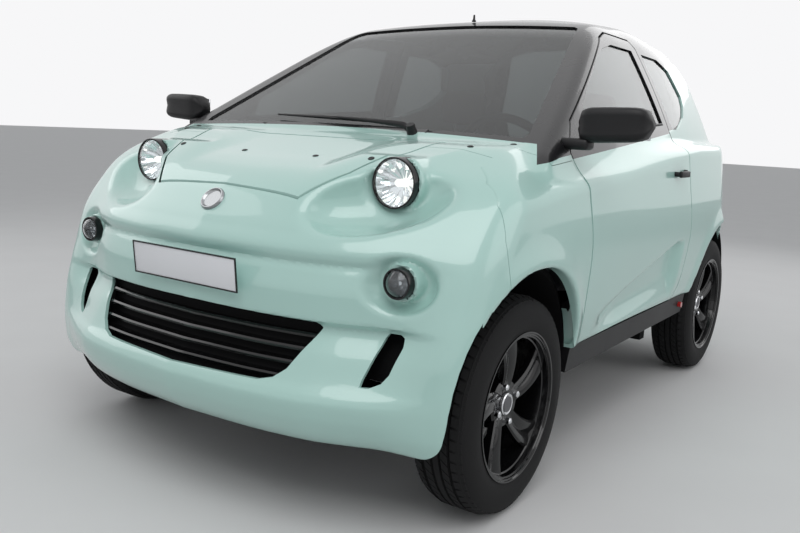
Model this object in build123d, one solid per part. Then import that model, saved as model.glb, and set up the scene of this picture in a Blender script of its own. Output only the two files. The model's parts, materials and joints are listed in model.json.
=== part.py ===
from build123d import *
import math
import os

# Microcar with two doors, two seats and a glazed tailgate. Millimetres.
# +X is the car's left, the front faces -Y, the ground is z = 0 and the origin
# is under the middle of the overall length.

# ------------------------------------------------------------ overall layout
WHEELBASE = 1765
FRONT_OVERHANG = 510
REAR_OVERHANG = 483
FRONT_AXLE = FRONT_OVERHANG - (FRONT_OVERHANG + WHEELBASE + REAR_OVERHANG) / 2
REAR_AXLE = FRONT_AXLE + WHEELBASE

# ------------------------------------------------------------ wheels
TYRE_R = 278            # outer radius of the tyre, and the height of the axles
TYRE_WIDTH = 155
RIM_R = 178             # bead seat of a 14 inch rim
RIM_LIP_R = 191
WHEEL_X = 638           # centre plane of a wheel
KINGPIN_X = 575
SPOKES = 5
HUB_R = 62
ARCH_HALF = 308         # wheel arch, half width at the axle
ARCH_RISE = 354         # top of the arch above the axle
LINER_WALL = 6
LINER_INNER_X = 395
STEER_LOCK = 32

# ------------------------------------------------------------ walls and gaps
SKIN = 8                # front panels
WALL = 40               # doors, quarters, pillars and tailgate
ROOF_WALL = 25
GLASS = 5
GLASS_INSET = 6
SHUT_GAP = 6            # between a moving panel and what is beside it
SEAT_GAP = 0.3          # between a pane or trim and what holds it
SLIVER = 50.0           # a solid below this volume is a leftover of a cut

# ------------------------------------------------------------ body sides
SILL_X = 700            # half width low on the doors
WIDEST_X = 749
WIDEST_Z = 650
SHOULDER_X = 712
SHOULDER_Z = 860
BODY_LOW_Z = 250
SIDE_LOW_Z = 368        # lower edge of the coloured side
SILL_LOW_Z = 292
BELT_X = 662
BELT_FRONT_Z = 888      # window sill at the front of the door
BELT_REAR_Z = 978

# ------------------------------------------------------------ screen and roof
SCREEN_BASE_Y = FRONT_AXLE + 140
SCREEN_BASE_Z = 930
SCREEN_TOP_Y = FRONT_AXLE + 850
SCREEN_TOP_Z = 1326
ROOF_Z = 1436


def outline(plane, rows):
    """Closed face; a row is (u, v) for a line, or (u, v, mid_u, mid_v) for an arc."""
    edges = []
    for last, row in zip([rows[-1]] + rows[:-1], rows):
        if len(row) == 4:
            edges.append(Edge.make_three_point_arc(last[:2], row[2:], row[:2]))
        else:
            edges.append(Edge.make_line(last[:2], row[:2]))
    return Face(Wire(edges)).moved(plane.location)


def drawn_in(rows, distance):
    """The rows of an outline, moved inward by a distance, corners kept sharp."""
    count = len(rows)
    area = sum(rows[i - 1][0] * rows[i][1] - rows[i][0] * rows[i - 1][1] for i in range(count))
    turn = 1 if area > 0 else -1
    ends, mids = [], []          # directions at the start and end of the edge into each row
    for i in range(count):
        (u0, v0), (u1, v1) = rows[i - 1][:2], rows[i][:2]
        chord = math.atan2(v1 - v0, u1 - u0)
        bend = 0
        if len(rows[i]) == 4:
            mu, mv = rows[i][2:]
            bend = math.atan2(mv - v0, mu - u0) - chord
            bend = (bend + math.pi) % (2 * math.pi) - math.pi
        ends.append((chord + 2 * bend, chord - 2 * bend))
        mids.append(chord)
    result = []
    for i in range(count):
        out, into = ends[(i + 1) % count][0], ends[i][1]
        na = (-math.sin(into) * turn, math.cos(into) * turn)
        nb = (-math.sin(out) * turn, math.cos(out) * turn)
        share = distance / (1 + na[0] * nb[0] + na[1] * nb[1])
        row = [rows[i][0] + (na[0] + nb[0]) * share, rows[i][1] + (na[1] + nb[1]) * share]
        if len(rows[i]) == 4:
            row += [rows[i][2] - math.sin(mids[i]) * turn * distance,
                    rows[i][3] + math.cos(mids[i]) * turn * distance]
        result.append(tuple(row))
    return result


def side_prism(rows, x_low, x_high):
    """Outline in (y, z), filled from x_low to x_high."""
    face = outline(Plane(origin=(x_low, 0, 0), x_dir=(0, 1, 0), z_dir=(1, 0, 0)), rows)
    return Solid.extrude(face, (x_high - x_low, 0, 0))


def front_prism(rows, y_low, y_high):
    """Outline in (x, z), filled from y_low to y_high."""
    face = outline(Plane(origin=(0, y_low, 0), x_dir=(1, 0, 0), z_dir=(0, -1, 0)), rows)
    return Solid.extrude(face, (0, y_high - y_low, 0))


def plan_prism(rows, z_low, z_high):
    """Outline in (x, y), filled from z_low to z_high."""
    return Solid.extrude(outline(Plane.XY.offset(z_low), rows), (0, 0, z_high - z_low))


def mirrored(rows):
    """Whole outline from its half, given from the centre line out and back to it."""
    whole = list(rows)
    for this, before in zip(rows[:1:-1], rows[-2:0:-1]):
        mid = (-this[2], this[3]) if len(this) == 4 else ()
        whole.append((-before[0], before[1], *mid))
    return whole


def box(x0, x1, y0, y1, z0, z1):
    return Solid.make_box(x1 - x0, y1 - y0, z1 - z0).moved(Location((x0, y0, z0)))


def tube_x(y, z, radius, x_low, x_high):
    """Cylinder along X."""
    return Solid.make_cylinder(radius, x_high - x_low, Plane(origin=(x_low, y, z), z_dir=(1, 0, 0)))


def tube_y(x, z, radius, y_low, y_high):
    return Solid.make_cylinder(radius, y_high - y_low, Plane(origin=(x, y_low, z), z_dir=(0, 1, 0)))


def tube_z(x, y, radius, z_low, z_high):
    return Solid.make_cylinder(radius, z_high - z_low, Plane(origin=(x, y, z_low), z_dir=(0, 0, 1)))


def solids_of(shape, least=500.0):
    """The solids of a boolean result that are larger than a sliver."""
    if isinstance(shape, (list, tuple, ShapeList)):
        found = [s for item in shape for s in item.solids()]
    else:
        found = shape.solids()
    return sorted((s for s in found if s.volume > least), key=lambda s: -s.volume)


def joined(*shapes):
    """One solid of shapes that overlap or touch."""
    result = shapes[0]
    for shape in shapes[1:]:
        whole = solids_of(result.fuse(shape), SLIVER)
        if len(whole) != 1:
            raise ValueError("a joined shape stands free of the rest")
        result = whole[0]
    return result


def meet(*shapes):
    """The largest solid that all the shapes share."""
    result = shapes[0]
    for shape in shapes[1:]:
        result = solids_of(result & shape)[0]
    return result


def cut(shape, *tools):
    """The largest solid left when the tools are taken away."""
    for tool in tools:
        shape = solids_of(shape - tool)[0]
    return shape


def both_sides(shape):
    """The solid and its mirror image in the centre plane."""
    return [shape, shape.mirror(Plane.YZ)]


NODES = {}


def node(name, shape):
    NODES[name] = solids_of(shape, SLIVER)


# ------------------------------------------------------------ the outer form
# Nose, from the centre line: (y from the front axle, z).
NOSE_AXIS_Y = FRONT_AXLE + 1200     # the nose is curved in plan about this axis
NOSE = [
    ("underside", -455, 250),
    ("lip", -FRONT_OVERHANG, 330),
    ("lip top", -488, 362),
    ("grille top", -424, 500),
    ("plate ledge", -418, 640),
    ("badge panel", -360, 740),
    ("bonnet edge", -322, 792),
    ("brow", -230, 866),
    ("scuttle", 0, 915),
    ("screen", 150, 936),
]
# The bonnet lies lower than the brows beside it: (y, z) from its front edge.
BONNET_FRONT_Y = FRONT_AXLE - 322
BONNET_REAR_Y = FRONT_AXLE + 62
BONNET_TOP = [(BONNET_FRONT_Y - 40, 780), (FRONT_AXLE - 115, 857), (BONNET_REAR_Y, 915)]
BONNET_HALF = [(248, BONNET_FRONT_Y), (330, FRONT_AXLE - 230), (418, FRONT_AXLE + 20), (418, BONNET_REAR_Y)]
TAIL_AXIS_Y = REAR_AXLE - 900       # and the tail about this one
# Tail, from the centre line: (y from the rear axle, z).
TAIL = [
    ("underside", 425, 250),
    ("bumper", REAR_OVERHANG, 420),
    ("bumper top", 476, 610),
    ("tailgate foot", 432, 740),
    ("tail window foot", 350, 940),
    ("tail window top", 170, 1290),
    ("roof end", 80, 1450),
]
# Plan corners: (x, distance ahead of the front axle) and (x, behind the rear).
NOSE_CORNER = [(330, -470), (640, -322), (712, -240)]
TAIL_CORNER = [(560, 470), (668, 400), (712, 250)]
SCREEN = [(SCREEN_BASE_Y, SCREEN_BASE_Z), (SCREEN_TOP_Y, SCREEN_TOP_Z)]
# Cabin sections: y from the front axle, half widths and heights.
CABIN = [
    # y, belt x, rail x, rail z, crown z
    (100, 668, 520, 1280, 1300),
    (500, 665, 515, 1290, 1318),
    (950, 662, 503, 1312, 1346),
    (1400, 650, 490, 1306, 1404),
    (1800, 618, 455, 1268, ROOF_Z - 6),
    (2250, 565, 400, 1215, ROOF_Z - 20),
]
CABIN_FOOT_Z = 870
BELT_Z = 950


def turned(rows, axis_y, inset):
    """Half turn of a side outline, in (y, z), about an upright axis."""
    rows = [(axis_y if abs(row[0] - axis_y) < inset + 1 else row[0], row[1]) for row in drawn_in(rows, inset)]
    axis = Axis((0, axis_y, 0), (0, 0, 1))
    face = outline(Plane(origin=(0, 0, 0), x_dir=(0, 1, 0), z_dir=(1, 0, 0)), rows)
    return Solid.revolve(face.rotate(axis, -90), 180, axis)


def nose(inset):
    """Everything ahead of the cabin, turned about the nose axis."""
    rows = [(NOSE_AXIS_Y, BODY_LOW_Z)] + [(FRONT_AXLE + y, z) for _, y, z in NOSE]
    rows.append((NOSE_AXIS_Y, NOSE[-1][2] + 44))
    return turned(rows, NOSE_AXIS_Y, inset)


def tail(inset):
    rows = [(TAIL_AXIS_Y, BODY_LOW_Z)] + [(REAR_AXLE + y, z) for _, y, z in TAIL]
    rows.append((TAIL_AXIS_Y, TAIL[-1][2]))
    return turned(rows, TAIL_AXIS_Y, inset)


def sides(inset):
    """Section across the lower body, run the whole length."""
    rows = mirrored([
        (0, BODY_LOW_Z),
        (SILL_X - 18, BODY_LOW_Z),
        (SILL_X + 14, SIDE_LOW_Z),
        (WIDEST_X, WIDEST_Z, WIDEST_X - 8, (SIDE_LOW_Z + WIDEST_Z) / 2),
        (SHOULDER_X, SHOULDER_Z, WIDEST_X - 9, (WIDEST_Z + SHOULDER_Z) / 2),
        (BELT_X - 4, 975),
        (0, 975),
    ])
    return front_prism(drawn_in(rows, inset), FRONT_AXLE - 700, REAR_AXLE + 700)


def plan(inset):
    """Rounded corners of the bumpers and the slight bow of the sides."""
    nose_rows = [(x, FRONT_AXLE + y) for x, y in NOSE_CORNER]
    tail_rows = [(x, REAR_AXLE + y) for x, y in TAIL_CORNER]
    rows = mirrored([
        (0, FRONT_AXLE - 520),
        (NOSE_CORNER[0][0] - 60, FRONT_AXLE - 520),
        nose_rows[0],
        nose_rows[1],
        nose_rows[2],
        (WIDEST_X + 1, FRONT_AXLE - 60),
        (WIDEST_X + 1, FRONT_AXLE + 150),
        (WIDEST_X - 14, FRONT_AXLE + 700),
        (WIDEST_X - 12, REAR_AXLE),
        tail_rows[2],
        tail_rows[1],
        tail_rows[0],
        (0, REAR_AXLE + 500),
    ])
    return plan_prism(drawn_in(rows, inset), BODY_LOW_Z - 100, ROOF_Z + 100)


def cabin(inset):
    """The glasshouse, from below the window sills to the roof."""
    sections = []
    for y, belt_x, rail_x, rail_z, crown_z in CABIN:
        lean = (belt_x - rail_x) / (rail_z - BELT_Z)
        foot_z = CABIN_FOOT_Z - 2 * inset
        foot_x = belt_x + lean * (BELT_Z - foot_z) - inset
        top_x, top_z, crown = rail_x - inset, rail_z - inset, crown_z - inset
        rows = [
            (foot_x, foot_z),
            (top_x, top_z),
            (-top_x, top_z, 0, crown),
            (-foot_x, foot_z),
        ]
        sections.append(outline(Plane(origin=(0, FRONT_AXLE + y, 0), x_dir=(1, 0, 0), z_dir=(0, -1, 0)), rows).outer_wire())
    hull = Solid.make_loft(sections)
    (base_y, base_z), (top_y, top_z) = SCREEN
    run = math.hypot(top_y - base_y, top_z - base_z)
    step_y, step_z = (top_z - base_z) / run * inset, -(top_y - base_y) / run * inset
    reach = 1.4
    under_screen = side_prism([
        (base_y + step_y - 0.5 * (top_y - base_y), base_z + step_z - 0.5 * (top_z - base_z)),
        (top_y + step_y + reach * (top_y - base_y), top_z + step_z + reach * (top_z - base_z)),
        (REAR_AXLE + 700, top_z + step_z + reach * (top_z - base_z)),
        (REAR_AXLE + 700, CABIN_FOOT_Z - 100),
        (base_y + step_y - 0.5 * (top_y - base_y), CABIN_FOOT_Z - 100),
    ], -900, 900)
    return meet(hull, under_screen)


def above_bonnet(inset):
    """Space over the bonnet, between the brows."""
    (y0, z0), (y1, z1), (y2, z2) = BONNET_TOP
    half = [(BONNET_HALF[0][0], y0)] + BONNET_HALF[1:]
    return meet(plan_prism(mirrored([(0, y0)] + [(x + inset, y) for x, y in half] + [(0, y2)]), 700, 1100),
                side_prism([(y0, z0 - inset), (y1, z1 - inset), (y2, z2 - inset), (y2, 1100), (y0, 1100)], -900, 900))


def below_belt(inset):
    """Space under the window sills, and under the screen ahead of them."""
    step_y = SCREEN_BASE_Y - 5 - inset
    return side_prism([
        (FRONT_AXLE - 700, 0), (REAR_AXLE + 700, 0), (REAR_AXLE + 700, BELT_REAR_Z + 60 - inset),
        (FRONT_AXLE + 1260, BELT_REAR_Z - inset), (step_y + 5, BELT_FRONT_Z - inset), (step_y, BELT_FRONT_Z + 90 - inset),
        (FRONT_AXLE - 700, BELT_FRONT_Z + 90 - inset),
    ], -900, 900)


def body_form(inset):
    """The whole body, solid, drawn in by a distance."""
    middle = FRONT_AXLE + 900
    ahead = joined(nose(inset), box(-1600, 1600, middle, REAR_AXLE + 700, 0, 1600))
    behind = joined(tail(inset), box(-1600, 1600, FRONT_AXLE - 700, middle + 60, 0, 1600))
    lower = cut(meet(sides(inset), plan(inset), below_belt(inset), ahead, behind), above_bonnet(inset))
    return joined(lower, meet(cabin(inset), behind))


OUTER = body_form(0)
UNDER_SKIN = body_form(SKIN)
UNDER_WALL = body_form(WALL)
PANE_OUT = body_form(GLASS_INSET)
PANE_IN = body_form(GLASS_INSET + GLASS)


def F(y):
    """Distance behind the front axle."""
    return FRONT_AXLE + y


def R(y):
    """Distance behind the rear axle."""
    return REAR_AXLE + y


SKIN_SHELL = OUTER - UNDER_SKIN
WALL_SHELL = OUTER - UNDER_WALL
PANE_SHELL = PANE_OUT - PANE_IN
REAR_LINER_X = 540


def arch(y, x_low, x_high, inset=0):
    """Space of a wheel arch."""
    rows = [
        (y - ARCH_HALF + 6, 100), (y - ARCH_HALF, TYRE_R + 20),
        (y, TYRE_R + ARCH_RISE, y - ARCH_HALF * 0.76, TYRE_R + ARCH_RISE * 0.72),
        (y + ARCH_HALF, TYRE_R + 20, y + ARCH_HALF * 0.76, TYRE_R + ARCH_RISE * 0.72), (y + ARCH_HALF - 6, 100),
    ]
    return side_prism(drawn_in(rows, inset), x_low, x_high)


FRONT_ARCHES = [arch(F(0), LINER_INNER_X, 800), arch(F(0), -800, -LINER_INNER_X)]
REAR_ARCHES = [arch(R(0), REAR_LINER_X, 800), arch(R(0), -800, -REAR_LINER_X)]
NEAR = -900, -300        # the two bands of x that hold the sides
FAR = 300, 900

# ------------------------------------------------------------ doors
DOOR_FOOT_Z = SIDE_LOW_Z + SHUT_GAP
DOOR_INNER = [(630, 300), (630, 872), (598, 950), (445, 1292), (900, 1292), (900, 300)]     # (x, z) behind the left door
DOOR = [
    # (y from the front axle, z), round from the lower front corner
    (334, DOOR_FOOT_Z), (318, 560), (310, 690), (286, 820), (250, 905), (262, 935),
    (300, 986), (800, 1262), (880, 1286), (1110, 1286), (1146, 1262), (1212, 985),
    (1240, 860), (1286, 600), (1272, 420), (1240, DOOR_FOOT_Z),
]
# The door's shut faces slant in plan, so that its leaning window frame swings out clear.
DOOR_SLANT = 0.32
SIDE_X = [(200, 700), (SIDE_LOW_Z, 714), (WIDEST_Z, WIDEST_X), (SHOULDER_Z, SHOULDER_X), (BELT_Z, BELT_X), (1290, 505)]
DOOR_WINDOW = [
    (420, 950), (420, 1035), (530, 1104), (674, 1188), (776, 1228), (875, 1250), (1088, 1252), (1158, 1002),
]
WAIST = [(200, 884), (1300, 983)]      # where the coloured door meets its black frame
DOOR_HINGE = dict(x=727, y=F(360), strap=10, barrel=8, pin=4, pin_half=24, pocket=16, inboard=662, post_y=F(300))
DOOR_HINGE_Z = [532, 700]
HINGE_POST = [(272, 505), (300, 505), (300, 726), (262, 830), (236, 884), (200, 884), (225, 830), (268, 700)]


def along(rows):
    return [(F(row[0]), *row[1:]) for row in rows]


def grown(rows, distance):
    return drawn_in(rows, -distance)


def below_waist(gap):
    (y0, z0), (y1, z1) = WAIST
    return side_prism([(F(y0), 200), (F(y1), 200), (F(y1), z1 - gap), (F(y0), z0 - gap)], -900, 900)


def side_x(z):
    """Half width of the outer surface at a height, between the rows of SIDE_X."""
    for (z0, x0), (z1, x1) in zip(SIDE_X, SIDE_X[1:]):
        if z <= z1:
            return x0 + (x1 - x0) * (z - z0) / (z1 - z0)
    return SIDE_X[-1][1]


def door_prism(gap):
    """The door's outline on the outer surface, grown by a gap and filled inward on the slant."""
    low, high = FAR
    rows = grown([(F(y) - (side_x(z) - low) * DOOR_SLANT, z) for y, z in DOOR], gap)
    face = outline(Plane(origin=(low, 0, 0), x_dir=(0, 1, 0), z_dir=(1, 0, 0)), rows)
    return meet(Solid.extrude(face, (high - low, (high - low) * DOOR_SLANT, 0)),
                front_prism(grown(DOOR_INNER, gap), F(0), F(1500)))


door_block = door_prism(0)
door_space = both_sides(door_prism(SHUT_GAP))
door_whole = meet(WALL_SHELL, door_block)
door_pane_hole = side_prism(along(DOOR_WINDOW), 300, 900)
door_pane = meet(PANE_SHELL, side_prism(drawn_in(along(DOOR_WINDOW), SEAT_GAP), 300, 900))
door_shell = meet(door_whole, below_waist(0))
hinge = DOOR_HINGE
hinge_posts = meet(side_prism(along(HINGE_POST), hinge["inboard"] - 4, hinge["inboard"] + 20), UNDER_SKIN)
for z in DOOR_HINGE_Z:
    low, high = z - hinge["strap"], z + hinge["strap"]
    strap = joined(
        box(hinge["inboard"], hinge["inboard"] + 12, hinge["post_y"] - 12, hinge["y"] + hinge["barrel"], low, high),
        box(hinge["inboard"], hinge["x"], hinge["y"] - hinge["pin"] / 2, hinge["y"] + hinge["barrel"], low, high),
        tube_z(hinge["x"], hinge["y"], hinge["barrel"], low, high),
        tube_z(hinge["x"], hinge["y"], hinge["pin"], z - hinge["pin_half"], z + hinge["pin_half"]),
    )
    hinge_posts = joined(hinge_posts, strap)
    door_shell = cut(
        door_shell,
        box(600, hinge["x"], F(200), hinge["y"] + hinge["barrel"] + 4, z - hinge["pocket"], z + hinge["pocket"]),
        tube_z(hinge["x"], hinge["y"], hinge["barrel"] + 3, z - hinge["pocket"], z + hinge["pocket"]),
        tube_z(hinge["x"], hinge["y"], hinge["pin"] + SEAT_GAP, z - hinge["pin_half"] - 1, z + hinge["pin_half"] + 1),
    )
# The foot of the door frame swings in past the foot of the windscreen pillar, so both are thin there.
CORNER_WALL = 20
UNDER_CORNER = meet(body_form(CORNER_WALL), box(-900, 900, F(200), F(350), 880, 1012))
door_frame = cut(door_whole, below_waist(0), door_pane_hole, UNDER_CORNER)

HANDLE = dict(y=F(1120), z=838, length=126, height=22, depth=26)
handle = cut(box(690, 690 + 40 + HANDLE["depth"], HANDLE["y"] - HANDLE["length"] / 2, HANDLE["y"] + HANDLE["length"] / 2,
                 HANDLE["z"] - HANDLE["height"] / 2, HANDLE["z"] + HANDLE["height"] / 2), OUTER)
MIRROR = dict(x0=702, x1=896, y0=F(200), y1=F(296), z0=928, z1=1030, arm_y=F(248))
mirror_housing = box(MIRROR["x0"], MIRROR["x1"], MIRROR["y0"], MIRROR["y1"], MIRROR["z0"], MIRROR["z1"])
mirror_housing = mirror_housing.fillet(24, mirror_housing.edges())
mirror_arm = box(640, MIRROR["x0"] + 30, MIRROR["y0"], MIRROR["arm_y"], 918, 944)
mirror = joined(mirror_housing, cut(mirror_arm, OUTER))

for side, name in ((0, "left"), (1, "right")):
    for part, shape in (("shell", door_shell), ("frame", door_frame), ("glass", door_pane), ("handle", handle)):
        node(f"door_{name}_{part}", both_sides(shape)[side])
node("side_mirrors", both_sides(mirror))

# ------------------------------------------------------------ bonnet
bonnet_half = [(0, BONNET_FRONT_Y)] + BONNET_HALF + [(0, BONNET_REAR_Y)]
bonnet_space = plan_prism(mirrored(bonnet_half), 740, 1000)
node("bonnet", meet(SKIN_SHELL, plan_prism(drawn_in(mirrored(bonnet_half), SHUT_GAP), 740, 1000)))

# ------------------------------------------------------------ front fascia
BROW_REAR_Y = F(-20)
WING_INNER_X = 620
WING = [
    # (y from the front axle, z)
    (-300, 960), (-300, 900), (-204, 770), (-72, 600), (-20, 300), (100, SIDE_LOW_Z), (334 - SHUT_GAP, SIDE_LOW_Z),
    (318 - SHUT_GAP, 560), (310 - SHUT_GAP, 690), (286 - SHUT_GAP, 820), (250 - SHUT_GAP, 884), (110, 872), (60, 960),
]
wing_blocks = [side_prism(along(WING), WING_INNER_X, 900), side_prism(along(WING), -900, -WING_INNER_X)]
LAMP = dict(x=436, y=F(-200), z=817, r=62, depth=90)
BOWL = dict(x=440, y=F(-246), z=822, r=112, wall=8)
FOG = dict(x=549, y=F(-334), z=607, r=36, depth=60)
PLATE = dict(width=368, height=84, thickness=3, z=588, y=F(-456), lean=6)
GRILLE_OPENING = [(0, 356), (290, 362), (345, 410), (384, 486), (374, 500), (0, 506)]
SLOT = [(500, 372), (560, 380), (596, 480), (580, 500), (548, 498), (506, 400)]

fascia = meet(SKIN_SHELL, box(-900, 900, F(-700), BROW_REAR_Y, 200, 1000))
fascia = cut(fascia, *wing_blocks, bonnet_space, *FRONT_ARCHES, box(-900, 900, F(-60), F(200), 200, 700))
for sign in (1, -1):
    bowl_at = Location((sign * BOWL["x"], BOWL["y"], BOWL["z"]))
    outer_ball = Solid.make_sphere(BOWL["r"] + BOWL["wall"], angle1=-90, angle2=90).moved(bowl_at)
    inner_ball = Solid.make_sphere(BOWL["r"], angle1=-90, angle2=90).moved(bowl_at)
    cup = cut(meet(outer_ball, UNDER_SKIN), inner_ball)
    fascia = joined(cut(fascia, inner_ball), cup)
    fascia = cut(fascia, tube_y(sign * LAMP["x"], LAMP["z"], LAMP["r"] + SEAT_GAP, LAMP["y"] - 60, LAMP["y"] + 200),
                 tube_y(sign * FOG["x"], FOG["z"], FOG["r"] + SEAT_GAP, F(-480), F(-200)),
                 front_prism([(sign * x, z) for x, z in SLOT], F(-520), F(-250)))
fascia = cut(fascia, front_prism(mirrored(GRILLE_OPENING), F(-520), F(-350)),
             box(-LINER_INNER_X, LINER_INNER_X, F(-400), F(0), 200, BODY_LOW_Z + SKIN + 5))
plate_turn = Rot(PLATE["lean"], 0, 0)
plate_at = Location((0, PLATE["y"], PLATE["z"]))
plate_box = box(-PLATE["width"] / 2, PLATE["width"] / 2, 0, PLATE["thickness"], -PLATE["height"] / 2, PLATE["height"] / 2)
holder = box(-PLATE["width"] / 2 + 8, PLATE["width"] / 2 - 8, PLATE["thickness"], 46, -PLATE["height"] / 2 + 4, PLATE["height"] / 2 - 4)
fascia = joined(fascia, cut(holder.moved(plate_at * plate_turn), UNDER_SKIN))
node("front_plate", plate_box.moved(plate_at * plate_turn))
node("wings", [cut(meet(SKIN_SHELL, block), *FRONT_ARCHES, *door_space) for block in wing_blocks])
node("headlamps", [tube_y(s * LAMP["x"], LAMP["z"], LAMP["r"], LAMP["y"] - 8, LAMP["y"] + LAMP["depth"]) for s in (1, -1)])
node("front_lamps", [tube_y(s * FOG["x"], FOG["z"], FOG["r"], FOG["y"], FOG["y"] + FOG["depth"]) for s in (1, -1)])

GRILLE_SLATS = [384, 412, 440, 468]
GRILLE_BACK = 42
grille = turned([(F(-478 + GRILLE_BACK), 340), (F(-424 + GRILLE_BACK), 520), (F(-418 + GRILLE_BACK), 520), (F(-472 + GRILLE_BACK), 340)], NOSE_AXIS_Y, 0)
grille = meet(grille, box(-400, 400, F(-600), F(-250), 330, 520))
for z in GRILLE_SLATS:
    y = -478 + (z - 350) * 0.35
    slat = turned([(F(y + 8), z - 7), (F(y + 8), z + 7), (F(y + GRILLE_BACK + 3), z + 7), (F(y + GRILLE_BACK + 3), z - 7)], NOSE_AXIS_Y, 0)
    grille = joined(grille, meet(slat, front_prism(drawn_in(mirrored(GRILLE_OPENING), SEAT_GAP), F(-600), F(-250))))
node("grille", cut(grille, fascia))
BADGE = dict(z=747, r=34)
node("badge", meet(OUTER, tube_y(0, BADGE["z"], BADGE["r"], F(-420), F(-340))) - UNDER_SKIN)
fascia = cut(fascia, tube_y(0, BADGE["z"], BADGE["r"] + SEAT_GAP, F(-420), F(-340)))
node("front_fascia", fascia)

# ------------------------------------------------------------ scuttle and screen
scuttle = meet(SKIN_SHELL, box(-WING_INNER_X, WING_INNER_X, BROW_REAR_Y, SCREEN_BASE_Y - 2, 780, 1000))
BONNET_ROD = dict(y=BONNET_REAR_Y - SHUT_GAP / 2, z=BONNET_TOP[2][1] - 4, r=SHUT_GAP / 2 - SEAT_GAP, half=200)
bonnet_rod = tube_x(BONNET_ROD["y"], BONNET_ROD["z"], BONNET_ROD["r"], -BONNET_ROD["half"], BONNET_ROD["half"])
bonnet_leaf = box(-BONNET_ROD["half"], BONNET_ROD["half"], BONNET_ROD["y"], BONNET_REAR_Y + 4, BONNET_ROD["z"] - 1.5, BONNET_ROD["z"] + 1.5)
bonnet_tab = box(-BONNET_ROD["half"], BONNET_ROD["half"], BONNET_REAR_Y, BONNET_REAR_Y + 4, BONNET_ROD["z"] - 1.5, BONNET_ROD["z"] + 7)
node("scuttle", joined(cut(scuttle, bonnet_space), bonnet_tab, bonnet_leaf, bonnet_rod))
screen_plane = Plane(origin=(0, SCREEN_BASE_Y, SCREEN_BASE_Z), x_dir=(1, 0, 0),
                     z_dir=(0, -(SCREEN_TOP_Z - SCREEN_BASE_Z), SCREEN_TOP_Y - SCREEN_BASE_Y))
SCREEN_GLASS = [(0, 34), (586, 34), (590, 60), (440, 766), (420, 778), (0, 786)]
screen_hole = Solid.extrude(outline(screen_plane.offset(-80), mirrored(SCREEN_GLASS)), tuple(screen_plane.z_dir * 160))
screen_pane = Solid.extrude(outline(screen_plane.offset(-GLASS_INSET - GLASS), drawn_in(mirrored(SCREEN_GLASS), SEAT_GAP)),
                            tuple(screen_plane.z_dir * GLASS))
node("windscreen", screen_pane)

# ------------------------------------------------------------ roof, pillars, quarters, tailgate
ROOF_FRONT_Y = SCREEN_TOP_Y + 14
ROOF_REAR_Y = R(56)
ROOF_HALF = [(0, ROOF_FRONT_Y), (440, ROOF_FRONT_Y), (430, F(1400)), (390, ROOF_REAR_Y), (0, ROOF_REAR_Y)]
UNDER_ROOF = body_form(ROOF_WALL)
roof_block = plan_prism(mirrored(ROOF_HALF), 1180, 1600)
roof_panel = meet(OUTER - UNDER_ROOF, roof_block)

TAILGATE_HINGE_Y = ROOF_REAR_Y + SHUT_GAP
TAILGATE_LOW_Z = 642
TAILGATE_HALF = [(0, TAILGATE_LOW_Z), (505, TAILGATE_LOW_Z), (560, 760), (548, 960), (400, 1370), (380, 1500), (0, 1500)]
TAIL_WINDOW = [(0, 850), (470, 850), (474, 960), (352, 1310), (330, 1330), (0, 1340)]
tailgate_block = front_prism(mirrored(TAILGATE_HALF), TAILGATE_HINGE_Y, R(700))
tailgate_space = front_prism(grown(mirrored(TAILGATE_HALF), SHUT_GAP), TAILGATE_HINGE_Y - SHUT_GAP, R(700))
tail_window = front_prism(mirrored(TAIL_WINDOW), TAILGATE_HINGE_Y + 30, R(700))
tailgate = cut(meet(WALL_SHELL, tailgate_block), tail_window)
node("tailgate_glass", meet(PANE_SHELL, front_prism(drawn_in(mirrored(TAIL_WINDOW), SEAT_GAP), TAILGATE_HINGE_Y + 31, R(700))))
REAR_PLATE = dict(width=520, height=110, thickness=3, z=712, y=R(470))
rear_holder = box(-REAR_PLATE["width"] / 2 + 6, REAR_PLATE["width"] / 2 - 6, REAR_PLATE["y"] - 90, REAR_PLATE["y"],
                  REAR_PLATE["z"] - REAR_PLATE["height"] / 2 + 4, REAR_PLATE["z"] + REAR_PLATE["height"] / 2 - 4)
tailgate = joined(tailgate, cut(rear_holder, UNDER_WALL))
GATE_HINGE = dict(y=ROOF_REAR_Y + SHUT_GAP / 2, z=1429, r=5, run=1, x=70, half=12, end=36, leaf=22, thick=3, foot=24)
hinge = GATE_HINGE
for x in (hinge["x"], -hinge["x"]):
    y, z, half, end = hinge["y"], hinge["z"], hinge["half"], hinge["end"]
    groove = tube_x(y, z, hinge["r"] + hinge["run"], x - end - hinge["run"], x + end + hinge["run"])
    roof_leaf = box(x - half, x + half, y - hinge["leaf"], y, z - 14, z + hinge["thick"])
    roof_web = box(x - half, x + half, y - hinge["leaf"], y, z - 1, z + 1)
    roof_panel = joined(cut(roof_panel, groove), cut(roof_leaf, groove), roof_web,
                        tube_x(y, z, hinge["r"], x - half, x + half))
    tailgate = cut(tailgate, tube_x(y, z, hinge["r"] + hinge["run"], x - half - SEAT_GAP, x + half + SEAT_GAP))
    for near, far in ((x - end, x - half - SEAT_GAP), (x + half + SEAT_GAP, x + end)):
        gate_leaf = box(near, far, y, y + hinge["leaf"], z - 1, z + hinge["thick"])
        gate_foot = box(near, far, y + SHUT_GAP / 2 + 1, y + hinge["leaf"], z - hinge["foot"], z)
        tailgate = joined(tailgate, gate_foot, gate_leaf, tube_x(y, z, hinge["r"], near, far))
node("roof_panel", roof_panel)
node("tailgate_frame", tailgate)
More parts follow.
